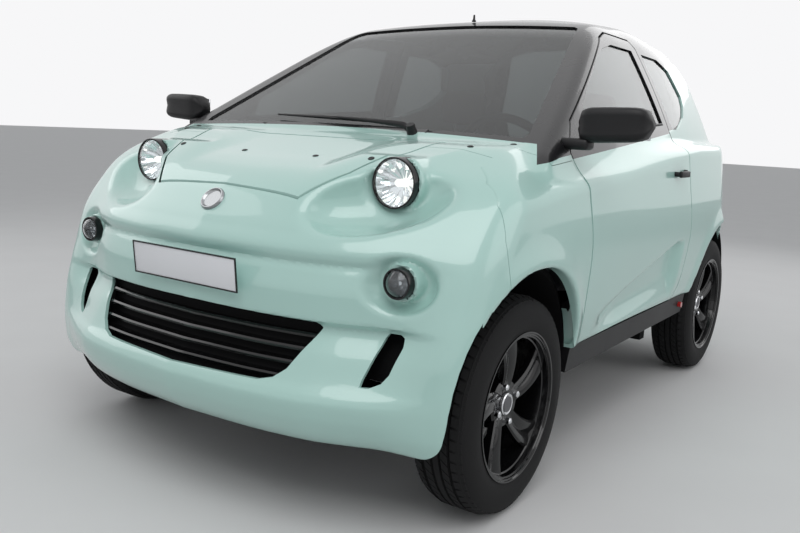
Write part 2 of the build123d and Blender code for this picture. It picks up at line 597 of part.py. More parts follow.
node("rear_plate", box(-REAR_PLATE["width"] / 2, REAR_PLATE["width"] / 2, REAR_PLATE["y"], REAR_PLATE["y"] + REAR_PLATE["thickness"],
                       REAR_PLATE["z"] - REAR_PLATE["height"] / 2, REAR_PLATE["z"] + REAR_PLATE["height"] / 2))

QUARTER_WINDOW = [(1268, 990), (1196, 1250), (1400, 1250), (1530, 1218), (1596, 1125), (1496, 1040), (1350, 992)]
BUMPER_TOP_Z = TAILGATE_LOW_Z - SHUT_GAP
BUMPER_FRONT_Y = R(250)
QUARTER = [
    (1240, SIDE_LOW_Z), (1272 + SHUT_GAP, 420), (1286 + SHUT_GAP, 600), (1240 + SHUT_GAP, 860),
    (1212 + SHUT_GAP, 985), (1268, 990), (1510, 1240), (1821, 1272),
    (WHEELBASE + 600, 1272), (WHEELBASE + 600, SIDE_LOW_Z),
]
rear_bumper_block = box(-900, 900, BUMPER_FRONT_Y, R(600), 200, BUMPER_TOP_Z)
quarters = []
for sign, low, high in ((1, 300, 900), (-1, -900, -300)):
    block = side_prism(along(QUARTER), low, high)
    quarters.append(cut(meet(WALL_SHELL, block), tailgate_space, rear_bumper_block, *REAR_ARCHES, *door_space,
                        side_prism(along(QUARTER_WINDOW), low, high)))
TAIL_LAMPS = [(622, 715), (612, 812)]
TAIL_LAMP_R = 42
tail_lamps = []
for x, z in TAIL_LAMPS:
    for i, sign in enumerate((1, -1)):
        lamp = tube_y(sign * x, z, TAIL_LAMP_R, R(150), R(500))
        tail_lamps += solids_of(lamp & WALL_SHELL)[:1]
        quarters[i] = cut(quarters[i], tube_y(sign * x, z, TAIL_LAMP_R + SEAT_GAP, R(150), R(500)))
node("quarter_panels", quarters)
node("tail_lamps", tail_lamps)
node("quarter_windows", [meet(PANE_SHELL, side_prism(drawn_in(along(QUARTER_WINDOW), SEAT_GAP), low, high))
                         for low, high in ((300, 900), (-900, -300))])
node("rear_bumper", cut(meet(SKIN_SHELL, rear_bumper_block), *REAR_ARCHES))

pillars = meet(WALL_SHELL, box(-900, 900, SCREEN_BASE_Y - 2, ROOF_REAR_Y, 872, 1600))
pillars = cut(pillars, *door_space, roof_block, screen_hole, UNDER_CORNER,
              *[side_prism(along(QUARTER), low, high) for low, high in (NEAR, FAR)],
              *[side_prism(along(QUARTER_WINDOW), low, high) for low, high in (NEAR, FAR)],
              tailgate_space, *wing_blocks)
pillars = joined(pillars, *both_sides(hinge_posts))
node("pillar_frame", pillars)

# ------------------------------------------------------------ under-body
FRAME_LOW_Z = 190
FRAME_END_LOW_Z = 222   # ahead of and behind the wheels, where the bumpers hide the frame
FRAME_FRONT_Y, FRAME_REAR_Y = F(-395), R(395)
FRAME_TOP_Z = BODY_LOW_Z - SEAT_GAP
RAIL_IN, RAIL_OUT = 300, 345
FLOOR = 8
FLOOR_HALF = WING_INNER_X - SEAT_GAP
DECK_Z = 500
CROSS_MEMBERS = [
    # y, length along the car, half width, underside
    (FRAME_FRONT_Y + 25, 50, RAIL_OUT, FRAME_END_LOW_Z), (F(-60), 110, RAIL_OUT, FRAME_LOW_Z), (F(375), 50, 600, FRAME_LOW_Z),
    (F(1300), 50, 600, FRAME_LOW_Z), (FRAME_REAR_Y - 25, 50, RAIL_OUT, FRAME_END_LOW_Z),
]
members = [box(-half, half, y - length / 2, y + length / 2, low, FRAME_TOP_Z) for y, length, half, low in CROSS_MEMBERS]
end_rails = both_sides(box(RAIL_IN, RAIL_OUT, FRAME_FRONT_Y, FRAME_REAR_Y, FRAME_END_LOW_Z, FRAME_TOP_Z))
rails = both_sides(box(RAIL_IN, RAIL_OUT, F(-240), R(240), FRAME_LOW_Z, FRAME_TOP_Z))
frame = joined(members[0], *end_rails, *rails, *members[1:])
# A threaded socket for the towing eye at each end.
TOW = dict(z=236, r=8, depth=32, boss_r=13, boss=12)
for y, way in ((FRAME_FRONT_Y, -1), (FRAME_REAR_Y, 1)):
    mouth = y + way * TOW["boss"]
    frame = joined(frame, tube_y(0, TOW["z"], TOW["boss_r"], *sorted((y, mouth))))
    frame = cut(frame, tube_y(0, TOW["z"], TOW["r"], *sorted((mouth - way * TOW["depth"], mouth))))
node("chassis_frame", frame)

tub = side_prism([
    (F(190), 850), (F(222), 560), (F(345), FRAME_TOP_Z), (F(1330), FRAME_TOP_Z), (F(1420), DECK_Z - FLOOR), (R(300), DECK_Z - FLOOR),
    (R(300), DECK_Z), (F(1420) - 6, DECK_Z), (F(1330) - 6, FRAME_TOP_Z + FLOOR), (F(345) + 6, FRAME_TOP_Z + FLOOR),
    (F(222) + FLOOR, 562), (F(190) + FLOOR, 850),
], -FLOOR_HALF, FLOOR_HALF)
node("floor_tub", cut(tub, *FRONT_ARCHES, *REAR_ARCHES))

liners = []
for y, inner_x in ((F(0), LINER_INNER_X), (R(0), REAR_LINER_X)):
    for x0, x1 in ((inner_x, 690), (-690, -inner_x)):
        ring = cut(arch(y, x0, x1, SEAT_GAP), arch(y, x0 - 5, x1 + 5, SEAT_GAP + LINER_WALL))
        liners.append(cut(ring, box(-900, 900, y - 400, y + 400, 0, TYRE_R + 90)))
node("wheel_liners", liners)

SILL = [(624, 300), (694, SILL_LOW_Z), (704, SIDE_LOW_Z - SEAT_GAP), (640, SIDE_LOW_Z - SEAT_GAP), (WING_INNER_X, 340)]
sill = cut(front_prism(SILL, F(320), R(-320)), *FRONT_ARCHES, *REAR_ARCHES)
node("sills", both_sides(sill))
MARKER = dict(y=R(-375), z=330, r=11)
node("side_markers", both_sides(tube_x(MARKER["y"], MARKER["z"], MARKER["r"], 698, 712) - sill))

engine = box(-255, 255, F(-260), F(110), FRAME_TOP_Z + SEAT_GAP, 600)
node("engine", engine)

# ------------------------------------------------------------ cabin
DASH = [
    (F(191) + FLOOR + SEAT_GAP, 840), (F(217.8) + FLOOR + SEAT_GAP, 600), (F(470), 600), (F(560), 700), (F(570), 820),
    (F(520), 872), (F(300), 905),
]
DASH_HALF = 570         # clear of the doors as they open
node("dashboard", side_prism(DASH, -DASH_HALF, DASH_HALF))
SEAT_X, SEAT_HALF = 285, 215
SEAT_FRONT_Y, SEAT_BACK_Y = F(800), F(1180)
bases = [box(s * SEAT_X - 170, s * SEAT_X + 170, SEAT_FRONT_Y + 40, SEAT_BACK_Y + 60, FRAME_TOP_Z + FLOOR + SEAT_GAP, 380) for s in (1, -1)]
node("seat_bases", bases)
SEAT = [
    (SEAT_FRONT_Y, 396), (SEAT_FRONT_Y, 470), (SEAT_FRONT_Y + 40, 500), (SEAT_BACK_Y - 60, 478), (SEAT_BACK_Y, 520),
    (SEAT_BACK_Y + 130, 1000), (SEAT_BACK_Y + 150, 1130), (SEAT_BACK_Y + 210, 1130), (SEAT_BACK_Y + 225, 1000),
    (SEAT_BACK_Y + 130, 500), (SEAT_BACK_Y + 90, 380 + SEAT_GAP),
    (SEAT_FRONT_Y + 20, 380 + SEAT_GAP),
]
for name, s in (("driver_seat", 1), ("passenger_seat", -1)):
    node(name, side_prism(SEAT, s * SEAT_X - SEAT_HALF, s * SEAT_X + SEAT_HALF))
WHEEL_TILT = 28
STEERING = dict(x=SEAT_X, y=F(690), z=842, r=172, rim=14)
steer_at = Location((STEERING["x"], STEERING["y"], STEERING["z"])) * Rot(-(90 - WHEEL_TILT), 0, 0)
steering = Solid.make_cylinder(46, 24).moved(Location((0, 0, -14)))
for angle in (0, 180, 270):
    spoke = box(0, STEERING["r"], -16, 16, -7, 7).moved(Rot(0, 0, angle))
    steering = joined(steering, spoke)
steering = joined(steering, Solid.make_torus(STEERING["r"], STEERING["rim"]))
column = Solid.make_cylinder(26, 200).moved(Location((0, 0, -205)))
steering = joined(steering, column).moved(steer_at)
node("steering_wheel", cut(steering, side_prism(grown(DASH, SEAT_GAP), -DASH_HALF, DASH_HALF)))

# ------------------------------------------------------------ wheels and axles
HUB_SPIGOT_R = 20
RUNNING = 0.05
TYRE_PROFILE = [
    # (distance from the centre plane, radius)
    (58, RIM_R + SEAT_GAP), (66, RIM_R + SEAT_GAP), (67, RIM_LIP_R + 4), (TYRE_WIDTH / 2, 226, 76, 206),
    (70, 262, 77, 245), (57, TYRE_R - 3, 66, 271), (30, TYRE_R - 0.5), (0, TYRE_R),
]


def turned_about_x(rows, y, z, centre_x):
    """Ring from a section in (x from the centre plane, radius)."""
    edges = []
    for last, row in zip([rows[-1]] + rows[:-1], rows):
        if len(row) == 4:
            edges.append(Edge.make_three_point_arc(last[:2], row[2:], row[:2]))
        else:
            edges.append(Edge.make_line(last[:2], row[:2]))
    ring = Solid.revolve(Face(Wire(edges)), 360, Axis((0, 0, 0), (1, 0, 0)))
    return ring.moved(Location((centre_x, y, z)))


def mirror_rows(rows):
    """Section given for +x, closed across the centre plane."""
    whole = list(rows)
    for this, before in zip(rows[::-1], rows[-2::-1]):
        mid = (-this[2], this[3]) if len(this) == 4 else ()
        whole.append((-before[0], before[1], *mid))
    return whole


RIM_PROFILE = [
    (77, RIM_LIP_R), (68.5, RIM_LIP_R), (68.5, RIM_R), (-68.5, RIM_R), (-68.5, RIM_LIP_R), (-77, RIM_LIP_R),
    (-77, RIM_R - 2), (-60, RIM_R - 8), (60, RIM_R - 8), (77, RIM_R - 2),
]
DISC_OUT, DISC_IN = 58, 30
HUB_IN = 24


def wheel_rim():
    rim = turned_about_x(RIM_PROFILE, 0, 0, 0)
    disc = Solid.make_cylinder(RIM_R - 4, DISC_OUT - DISC_IN, Plane(origin=(DISC_IN, 0, 0), z_dir=(1, 0, 0)))
    hub = Solid.make_cylinder(HUB_R, DISC_OUT + 6 - HUB_IN, Plane(origin=(HUB_IN, 0, 0), z_dir=(1, 0, 0)))
    for i in range(SPOKES):
        for low, high in ((13, 30), (42, 59)):
            a0, a1 = math.radians(i * 72 + low), math.radians(i * 72 + high)
            mid = (a0 + a1) / 2
            r0, r1 = HUB_R + 14, RIM_R - 12
            squeeze = math.radians(4)
            rows = [(r0 * math.cos(a0 + squeeze), r0 * math.sin(a0 + squeeze)), (r1 * math.cos(a0), r1 * math.sin(a0)),
                    (r1 * math.cos(a1), r1 * math.sin(a1), r1 * math.cos(mid), r1 * math.sin(mid)),
                    (r0 * math.cos(a1 - squeeze), r0 * math.sin(a1 - squeeze))]
            window = Solid.extrude(outline(Plane(origin=(DISC_IN - 5, 0, 0), x_dir=(0, 1, 0), z_dir=(1, 0, 0)), rows), (60, 0, 0))
            disc = cut(disc, window)
    rim = joined(rim, disc, hub)
    return cut(rim, Solid.make_cylinder(HUB_SPIGOT_R + RUNNING, 30, Plane(origin=(HUB_IN - 5, 0, 0), z_dir=(1, 0, 0))))


rim = wheel_rim()
tyre = turned_about_x(mirror_rows(TYRE_PROFILE), 0, 0, 0)
for name, y, sign in (("front_left", F(0), 1), ("front_right", F(0), -1), ("rear_left", R(0), 1), ("rear_right", R(0), -1)):
    place = Location((sign * WHEEL_X, y, TYRE_R))
    turn = Rot(0, 0, 0 if sign > 0 else 180)
    node(f"wheel_{name}_rim", rim.moved(place * turn))
    node(f"wheel_{name}_tyre", tyre.moved(place * turn))

SPIGOT_END_X = WHEEL_X + HUB_IN + 20
KNUCKLE_LOW_Z = TYRE_R - 62
knuckle = joined(
    box(KINGPIN_X - 22, KINGPIN_X + 22, F(-32), F(32), KNUCKLE_LOW_Z, TYRE_R + 70),
    tube_x(F(0), TYRE_R, HUB_SPIGOT_R, KINGPIN_X, SPIGOT_END_X),
    tube_x(F(0), TYRE_R, 100, KINGPIN_X + 20, KINGPIN_X + 26),
    box(KINGPIN_X - 14, KINGPIN_X + 14, F(20), F(110), TYRE_R - 30, TYRE_R - 10),
)
for sign, name in ((1, "left"), (-1, "right")):
    node(f"knuckle_{name}", knuckle if sign > 0 else knuckle.mirror(Plane.YZ))
ARM_LOW_Z = 200
STRUT_X = 500
arm = joined(
    plan_prism([(RAIL_OUT + SEAT_GAP, F(-70)), (KINGPIN_X - 16, F(-18)), (KINGPIN_X + 8, F(-12)), (KINGPIN_X + 8, F(12)), (KINGPIN_X - 16, F(18)), (RAIL_OUT + SEAT_GAP, F(70))],
               ARM_LOW_Z, KNUCKLE_LOW_Z - SEAT_GAP),
    box(RAIL_OUT + SEAT_GAP, RAIL_OUT + 40, F(-70), F(70), ARM_LOW_Z, ARM_LOW_Z + 34),
    tube_z(STRUT_X, F(0), 16, ARM_LOW_Z, 622), tube_z(STRUT_X, F(0), 30, 330, 560),
)
node("front_arms", both_sides(arm))
AXLE_TUBE_R = 26
axle = tube_x(R(0), TYRE_R, AXLE_TUBE_R, -WHEEL_X + 40, WHEEL_X - 40)
axle = joined(axle, tube_x(R(0), TYRE_R, HUB_SPIGOT_R, -SPIGOT_END_X, SPIGOT_END_X))
for sign in (1, -1):
    x0, x1 = sorted((sign * 380, sign * 430))
    axle = joined(axle, box(x0, x1, R(-360), R(20), 252, 278), box(x0, x1, R(-26), R(26), 252, TYRE_R))
    axle = joined(axle, tube_z(sign * 450, R(0), 28, TYRE_R, DECK_Z - FLOOR - SEAT_GAP))
    bracket_x = sorted((sign * (RAIL_OUT + SEAT_GAP), sign * 430))
    axle = joined(axle, box(x0, x1, R(-380), R(-330), 200, 278),
                  box(*bracket_x, R(-380), R(-330), 200, FRAME_TOP_Z - SEAT_GAP))
node("rear_axle", axle)

# ------------------------------------------------------------ small fittings
def on_screen(x, along_screen, lift):
    point = screen_plane.from_local_coords((x, along_screen, lift))
    return point.X, point.Y, point.Z


WIPER_PIVOT = (262, -4)
WIPER_TIP = (-300, 60)
angle = math.degrees(math.atan2(WIPER_TIP[1] - WIPER_PIVOT[1], WIPER_TIP[0] - WIPER_PIVOT[0]))
length = math.dist(WIPER_PIVOT, WIPER_TIP)
wiper = joined(box(0, length, -7, 7, 2, 16), Solid.make_cylinder(15, 22).moved(Location((0, 0, -2))))
wiper = wiper.moved(screen_plane.location * Location((*WIPER_PIVOT, 0)) * Rot(0, 0, angle))
node("wiper", cut(wiper, OUTER))
ANTENNA_Y = F(892)
antenna = joined(Solid.make_cone(14, 7, 26), Solid.make_cylinder(5, 46)).moved(Location((0, ANTENNA_Y, 1318)))
node("antenna", cut(antenna, OUTER))

os.makedirs("parts", exist_ok=True)
for name, solids in NODES.items():
    shape = solids[0] if len(solids) == 1 else Compound(solids)
    export_step(shape, f"parts/{name}.step")
    print(name, len(solids), all(s.is_valid for s in solids), round(sum(s.volume for s in solids) / 1e3))
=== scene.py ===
"""Looks of the microcar: panels, glass, lamps, wheels, trim and cabin, built round its frame. Metres."""

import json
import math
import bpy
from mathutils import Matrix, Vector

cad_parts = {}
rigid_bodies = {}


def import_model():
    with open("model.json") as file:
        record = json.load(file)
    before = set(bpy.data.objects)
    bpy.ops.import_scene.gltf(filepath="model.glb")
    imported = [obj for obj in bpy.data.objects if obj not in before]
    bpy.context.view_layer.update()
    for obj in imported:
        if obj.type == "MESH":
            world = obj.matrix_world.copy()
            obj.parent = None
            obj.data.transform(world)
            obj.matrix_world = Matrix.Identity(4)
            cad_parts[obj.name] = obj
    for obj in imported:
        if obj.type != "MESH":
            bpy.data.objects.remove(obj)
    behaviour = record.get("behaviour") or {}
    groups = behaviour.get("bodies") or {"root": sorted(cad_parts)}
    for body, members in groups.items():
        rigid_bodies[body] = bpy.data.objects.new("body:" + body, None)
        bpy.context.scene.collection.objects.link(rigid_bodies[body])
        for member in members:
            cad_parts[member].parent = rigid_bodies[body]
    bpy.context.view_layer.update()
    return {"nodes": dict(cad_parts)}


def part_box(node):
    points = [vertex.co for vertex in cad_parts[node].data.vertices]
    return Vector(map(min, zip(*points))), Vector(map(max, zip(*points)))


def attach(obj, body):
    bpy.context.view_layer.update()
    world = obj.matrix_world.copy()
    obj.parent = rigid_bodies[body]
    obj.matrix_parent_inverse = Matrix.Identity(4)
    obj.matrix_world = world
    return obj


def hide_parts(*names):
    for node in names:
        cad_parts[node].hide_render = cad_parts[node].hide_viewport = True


bl_info = {
    "name": "Microcar",
    "version": (1, 0, 0),
    "blender": (4, 5, 0),
    "location": "View3D > Sidebar > Microcar",
    "description": "Builds the body, glass, lamps, wheels and cabin of a two-seat microcar",
    "category": "Object",
}

import bpy
import numpy as np
from mathutils import Matrix, Vector

for leftover in list(bpy.data.objects):
    bpy.data.objects.remove(leftover)
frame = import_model()

# ------------------------------------------------------------ places shared with the frame
FRONT_AXLE = -0.869
REAR_AXLE = 0.896
WHEELBASE = 1.765
AXLE_Z = 0.278
WHEEL_X = 0.638
GAP = 0.006
SKIN = 0.008
WALL = 0.040
ROOF_WALL = 0.025
SIDES = (1, -1)
# Lamps of the nose: x and z of the middle, y behind the front axle, radius.
HEADLAMP = dict(x=0.436, z=0.817, y=-0.186, r=0.062)
FOG_LAMP = dict(x=0.549, z=0.607, y=-0.318, r=0.036)
SEAM = 0.0015
ARCH_LIP = 0.011


def F(y):
    """Distance behind the front axle."""
    return FRONT_AXLE + y


def R(y):
    """Distance behind the rear axle."""
    return REAR_AXLE + y


# ------------------------------------------------------------ curves and the body's form
def curve(rows):
    """Smooth curve through rows of (place, value), level beyond its ends."""
    at, to = np.array(rows, float).T
    slope = np.diff(to) / np.diff(at)
    lean = np.zeros_like(to)
    lean[0], lean[-1] = slope[0], slope[-1]
    same = slope[1:] * slope[:-1] > 0
    lean[1:-1][same] = 2 / (1 / slope[1:][same] + 1 / slope[:-1][same])

    def value(q):
        q = np.clip(q, at[0], at[-1])
        i = np.clip(np.searchsorted(at, q, side="right") - 1, 0, len(at) - 2)
        wide = at[i + 1] - at[i]
        t = (q - at[i]) / wide
        return ((1 + 2 * t) * (1 - t) ** 2 * to[i] + t * (1 - t) ** 2 * wide * lean[i]
                + t * t * (3 - 2 * t) * to[i + 1] + t * t * (t - 1) * wide * lean[i + 1])

    return value


def step(q, low, high):
    t = np.clip((q - low) / (high - low), 0, 1)
    return t * t * (3 - 2 * t)


def shared(a, b, r):
    """What two solids share, with the edge between them rounded."""
    h = np.maximum(r - np.abs(a - b), 0) / r
    return np.maximum(a, b) + h * h * r * 0.25


def united(a, b, r):
    return -shared(-a, -b, r)


# From the centre line: (height, y from the front axle).
NOSE_FACE = curve([
    (0.200, -0.400), (0.225, -0.452), (0.262, -0.487), (0.300, -0.505), (0.330, -0.510), (0.348, -0.503),
    (0.368, -0.484), (0.430, -0.452),
    (0.490, -0.418), (0.499, -0.428), (0.506, -0.438), (0.560, -0.437), (0.610, -0.424), (0.632, -0.415),
    (0.644, -0.422),
    (0.656, -0.424), (0.700, -0.398), (0.740, -0.366), (0.792, -0.318), (0.830, -0.268), (0.900, -0.130),
    (1.0, 0.05),
])
# The same near the wheel arches, where the grille's ledge fades out.
NOSE_SIDE_FACE = curve([
    (0.195, -0.450), (0.225, -0.476), (0.27, -0.493), (0.33, -0.498), (0.42, -0.490), (0.50, -0.472),
    (0.56, -0.454),
    (0.61, -0.440), (0.656, -0.424), (0.700, -0.398), (0.740, -0.366), (0.792, -0.318), (0.830, -0.268),
    (0.900, -0.130), (1.0, 0.05),
])
# Half width, and how far the nose falls back there.
NOSE_PLAN = curve([(0, 0), (0.20, 0.012), (0.30, 0.026), (0.38, 0.043), (0.46, 0.074), (0.54, 0.110),
                   (0.60, 0.135),
                   (0.65, 0.155), (0.69, 0.176), (0.72, 0.215), (0.75, 0.30)])
BONNET_LINE = curve([(-0.40, 0.760), (-0.322, 0.796), (-0.25, 0.828), (-0.18, 0.849), (-0.115, 0.864),
                     (0, 0.893), (0.08, 0.914),
                     (0.14, 0.926), (0.3, 0.955)])
BROW_LIFT = curve([(-0.45, 0.0), (-0.33, 0.012), (-0.26, 0.034), (-0.20, 0.042), (-0.12, 0.036), (0, 0.016),
                   (0.10, 0.006), (0.2, 0.0)])
WIDTH_ALONG = curve([(-0.60, 0.640), (-0.33, 0.700), (-0.2, 0.728), (0, 0.744), (0.25, 0.748), (0.8, 0.742),
                     (1.4, 0.745),
                     (1.8, 0.742), (2.0, 0.722), (2.12, 0.694), (2.3, 0.62)])
WIDTH_UP = curve([(0.22, -0.075), (0.30, -0.052), (0.37, -0.036), (0.48, -0.014), (0.65, 0), (0.80, -0.012),
                  (1.0, -0.034)])
BUMPER_WIDTH_UP = curve([(0.22, -0.022), (0.30, -0.010), (0.48, -0.004), (0.65, 0), (0.80, -0.012),
                         (1.0, -0.034)])
SHOULDER = curve([(-0.45, 0.745), (-0.2, 0.778), (0, 0.798), (0.23, 0.819), (0.52, 0.839), (0.88, 0.867),
                  (1.345, 0.918), (1.55, 0.956), (1.9, 0.99)])
BELT = curve([(-0.3, 0.86), (0.108, 0.876), (0.394, 0.905), (0.53, 0.914), (0.975, 0.949), (1.26, 0.980),
              (1.6, 1.02), (2.2, 1.05)])
TAIL_FACE = curve([(0.235, 2.12), (0.27, 2.19), (0.33, 2.232), (0.42, 2.248), (0.55, 2.246), (0.63, 2.235),
                   (0.70, 2.205), (0.78, 2.178), (0.96, 2.100),
                   (1.06, 2.058), (1.30, 1.935), (1.38, 1.888), (1.46, 1.83)])
TAIL_PLAN = curve([(0, 0), (0.3, 0.022), (0.45, 0.055), (0.56, 0.105), (0.62, 0.150), (0.66, 0.21),
                   (0.70, 0.31), (0.74, 0.45)])
ROOF_LINE = curve([(0.3, 1.20), (0.86, 1.330), (1.05, 1.362), (1.2, 1.384), (1.5, 1.415), (1.7, 1.4275),
                   (1.95, 1.428)])
ROOF_FALL = curve([(0.3, 0.016), (0.86, 0.022), (1.05, 0.044), (1.24, 0.066), (1.485, 0.115), (1.6, 0.143),
                   (1.86, 0.185)])
CABIN_WIDTH = curve([(0.0, 0.630), (0.055, 0.650), (0.12, 0.668), (0.5, 0.668), (0.95, 0.664), (1.4, 0.652),
                     (1.8, 0.622), (2.0, 0.597), (2.25, 0.555)])
SCREEN_FOOT, SCREEN_HEAD = (0.140, 0.930), (0.850, 1.328)
ARCH_HALF, ARCH_RISE = 0.308, 0.354


def arch_away(y, z):
    """How far a place stands outside the two wheel arches, seen from the side."""
    rise = np.maximum(z - AXLE_Z, 0) / ARCH_RISE
    ahead = (np.abs(y / ARCH_HALF) ** 2.15 + rise ** 2.15) ** (1 / 2.15)
    behind = (np.abs((y - WHEELBASE) / ARCH_HALF) ** 2.15 + (rise * 1.02) ** 2.15) ** (1 / 2.15)
    return (np.minimum(ahead, behind) - 1) * 0.32


def arch_outline(y, grow):
    """Side view of a wheel arch, grown by a distance: (y, z) rows round from its rear foot."""
    half, rise = ARCH_HALF + grow, ARCH_RISE + grow
    turn = [k * math.pi / 24 for k in range(25)]
    round_top = [(y + half * math.copysign(abs(math.cos(a)) ** 0.93, math.cos(a)),
                  AXLE_Z + rise * math.sin(a) ** 0.93) for a in turn]
    return [(y + half, 0.1)] + round_top + [(y - half, 0.1)]


def bowls(x, y, z):
    """The recesses round the headlamps and the fog lamps."""
    fall = NOSE_PLAN(x)
    dy = y + 0.300 - (fall - 0.068) * 0.95
    tilt = z - 0.804 - (x - 0.445) * 0.22
    scoop = (np.sqrt(((x - 0.456) / 0.178) ** 2 + (dy / 0.130) ** 2 + (tilt / 0.104) ** 2) - 1) * 0.10
    ring = np.sqrt((x - HEADLAMP["x"]) ** 2 + (z - HEADLAMP["z"]) ** 2) - 0.068
    cup = shared(ring, y + 0.176, 0.02)
    round_lamp = united(scoop, cup, 0.020)
    dy = y + 0.326 - (fall - 0.116) * 0.9
    fog = (np.sqrt(((x - FOG_LAMP["x"]) / 0.083) ** 2 + (dy / 0.052) ** 2 + ((z - 0.604) / 0.066) ** 2)
           - 1) * 0.055
    round_at, fog_at = (np.sqrt((x - lamp["x"]) ** 2 + (z - lamp["z"]) ** 2)
                        for lamp in (HEADLAMP, FOG_LAMP))
    pods = united(shared(round_at - 0.071, np.abs(y + 0.10) - 0.082, 0.010),
                  shared(fog_at - 0.043, np.abs(y + 0.22) - 0.092, 0.006), 0.004)
    holes = np.minimum(np.maximum(round_at - 0.0605, y + 0.140), np.maximum(fog_at - 0.0345, y + 0.276))
    return round_lamp, fog, pods, holes


def side_face(x, y, z):
    """The doors' and wings' side, with the flares over the wheels and the hollow low in the door."""
    ahead = 1 - step(y, -0.30, 0.20)
    width = WIDTH_ALONG(y) + WIDTH_UP(z) * (1 - ahead) + BUMPER_WIDTH_UP(z) * ahead
    away = arch_away(y, z)
    width = width + 0.010 * np.exp(-(np.maximum(away, -0.02) / 0.040) ** 2)
    along_door = step(y, 0.42, 0.70) * (1 - step(y, 1.17, 1.235))
    line = 0.43 + 0.155 * np.clip((y - 0.45) / 0.70, 0, 1)
    hollow = (1 - step(z, line - 0.008, line + 0.020)) * step(z, 0.372,
                                                              0.372 + 0.55 * np.maximum(line - 0.38, 0.02))
    width = width - 0.032 * along_door * hollow
    return x - width


def lower_form(x, y, z):
    """The body up to its belt, with the nose, the tail and the lamps' recesses."""
    side = side_face(x, y, z)
    high, low = BELT(y), SHOULDER(y)
    run = high - low
    chamfer = ((x - WIDTH_ALONG(y) + 0.012) * run + (z - low) * 0.068) / np.sqrt(run ** 2 + 0.068 ** 2)
    form = shared(side, chamfer, 0.014)
    top = BONNET_LINE(y) + BROW_LIFT(y) * step(x, 0.20, 0.385) - 0.32 * np.maximum(x - 0.47, 0) ** 2
    fade = step(x, 0.50, 0.68)
    front = (NOSE_FACE(z) * (1 - fade) + NOSE_SIDE_FACE(z) * fade + NOSE_PLAN(x) - y) * 0.86
    form = shared(form, z - top, 0.040)
    form = shared(form, front, 0.022)
    back = (y - TAIL_FACE(z) + TAIL_PLAN(x)) * 0.90
    form = shared(form, back, 0.045)
    floor_z = np.where(y < 0.30, 0.212, np.where(y < 1.465, 0.368, 0.243 + 0.012 * step(x, 0.5, 0.7)))
    form = shared(form, floor_z - z, 0.012)
    lamp, fog, pods, holes = bowls(x, y, z)
    form = shared(form, -lamp, 0.018)
    form = shared(form, -fog, 0.012)
    return np.maximum(united(form, pods, 0.012), -holes)


def cabin_form(x, y, z):
    """The glasshouse and the roof."""
    lean = 0.470 + 0.02 * step(y, 1.2, 2.0)
    side = (x - CABIN_WIDTH(y) + lean * (z - 0.950) - 0.010 * (1 - ((z - 1.12) / 0.2) ** 2)) * 0.905
    roof = z - (ROOF_LINE(y) - ROOF_FALL(y) * (x / 0.5) ** 2.3)
    (y0, z0), (y1, z1) = SCREEN_FOOT, SCREEN_HEAD
    run = math.hypot(y1 - y0, z1 - z0)
    across = x / 0.60
    screen = ((z - z0) * (y1 - y0) - (y - y0) * (z1 - z0)) / run + 0.014 * across ** 2 - 0.010
    tail = (y - TAIL_FACE(z) + TAIL_PLAN(x) * 0.9) * 0.88
    form = shared(roof, side, 0.055)
    form = shared(form, screen, 0.030)
    form = shared(form, tail, 0.040)
    return np.maximum(form, 0.84 - z)


def body(x, y, z):
    """Below zero inside the body. x may be either side; y is in the frame."""
    x, y = np.abs(x), y - FRONT_AXLE
    scuttle_lift = 0.030 * step(y, -0.12, 0.04) * (1 - step(y, 0.10, 0.20))
    lower = np.maximum(lower_form(x, y, z), z - BELT(y) - 0.012 - scuttle_lift)
    cabin = cabin_form(x, y, z)
    form = united(lower, cabin, 0.016)
    return shared(form, -np.maximum(arch_away(y, z), 0.39 - x), 0.010)


# ------------------------------------------------------------ meshes
def new_object(name, verts, faces):
    data = bpy.data.meshes.new(name)
    verts = np.asarray(verts, float)
    if isinstance(faces, np.ndarray):
        data.vertices.add(len(verts))
        data.vertices.foreach_set("co", verts.ravel())
        sides = faces.shape[1]
        data.loops.add(faces.size)
        data.loops.foreach_set("vertex_index", faces.ravel().astype(np.int32))
        data.polygons.add(len(faces))
        data.polygons.foreach_set("loop_start", np.arange(0, faces.size, sides, dtype=np.int32))
        data.update(calc_edges=True)
    else:
        data.from_pydata([tuple(v) for v in verts], [], faces)
        data.update()
    made = bpy.data.objects.new(name, data)
    bpy.context.scene.collection.objects.link(made)
    return made


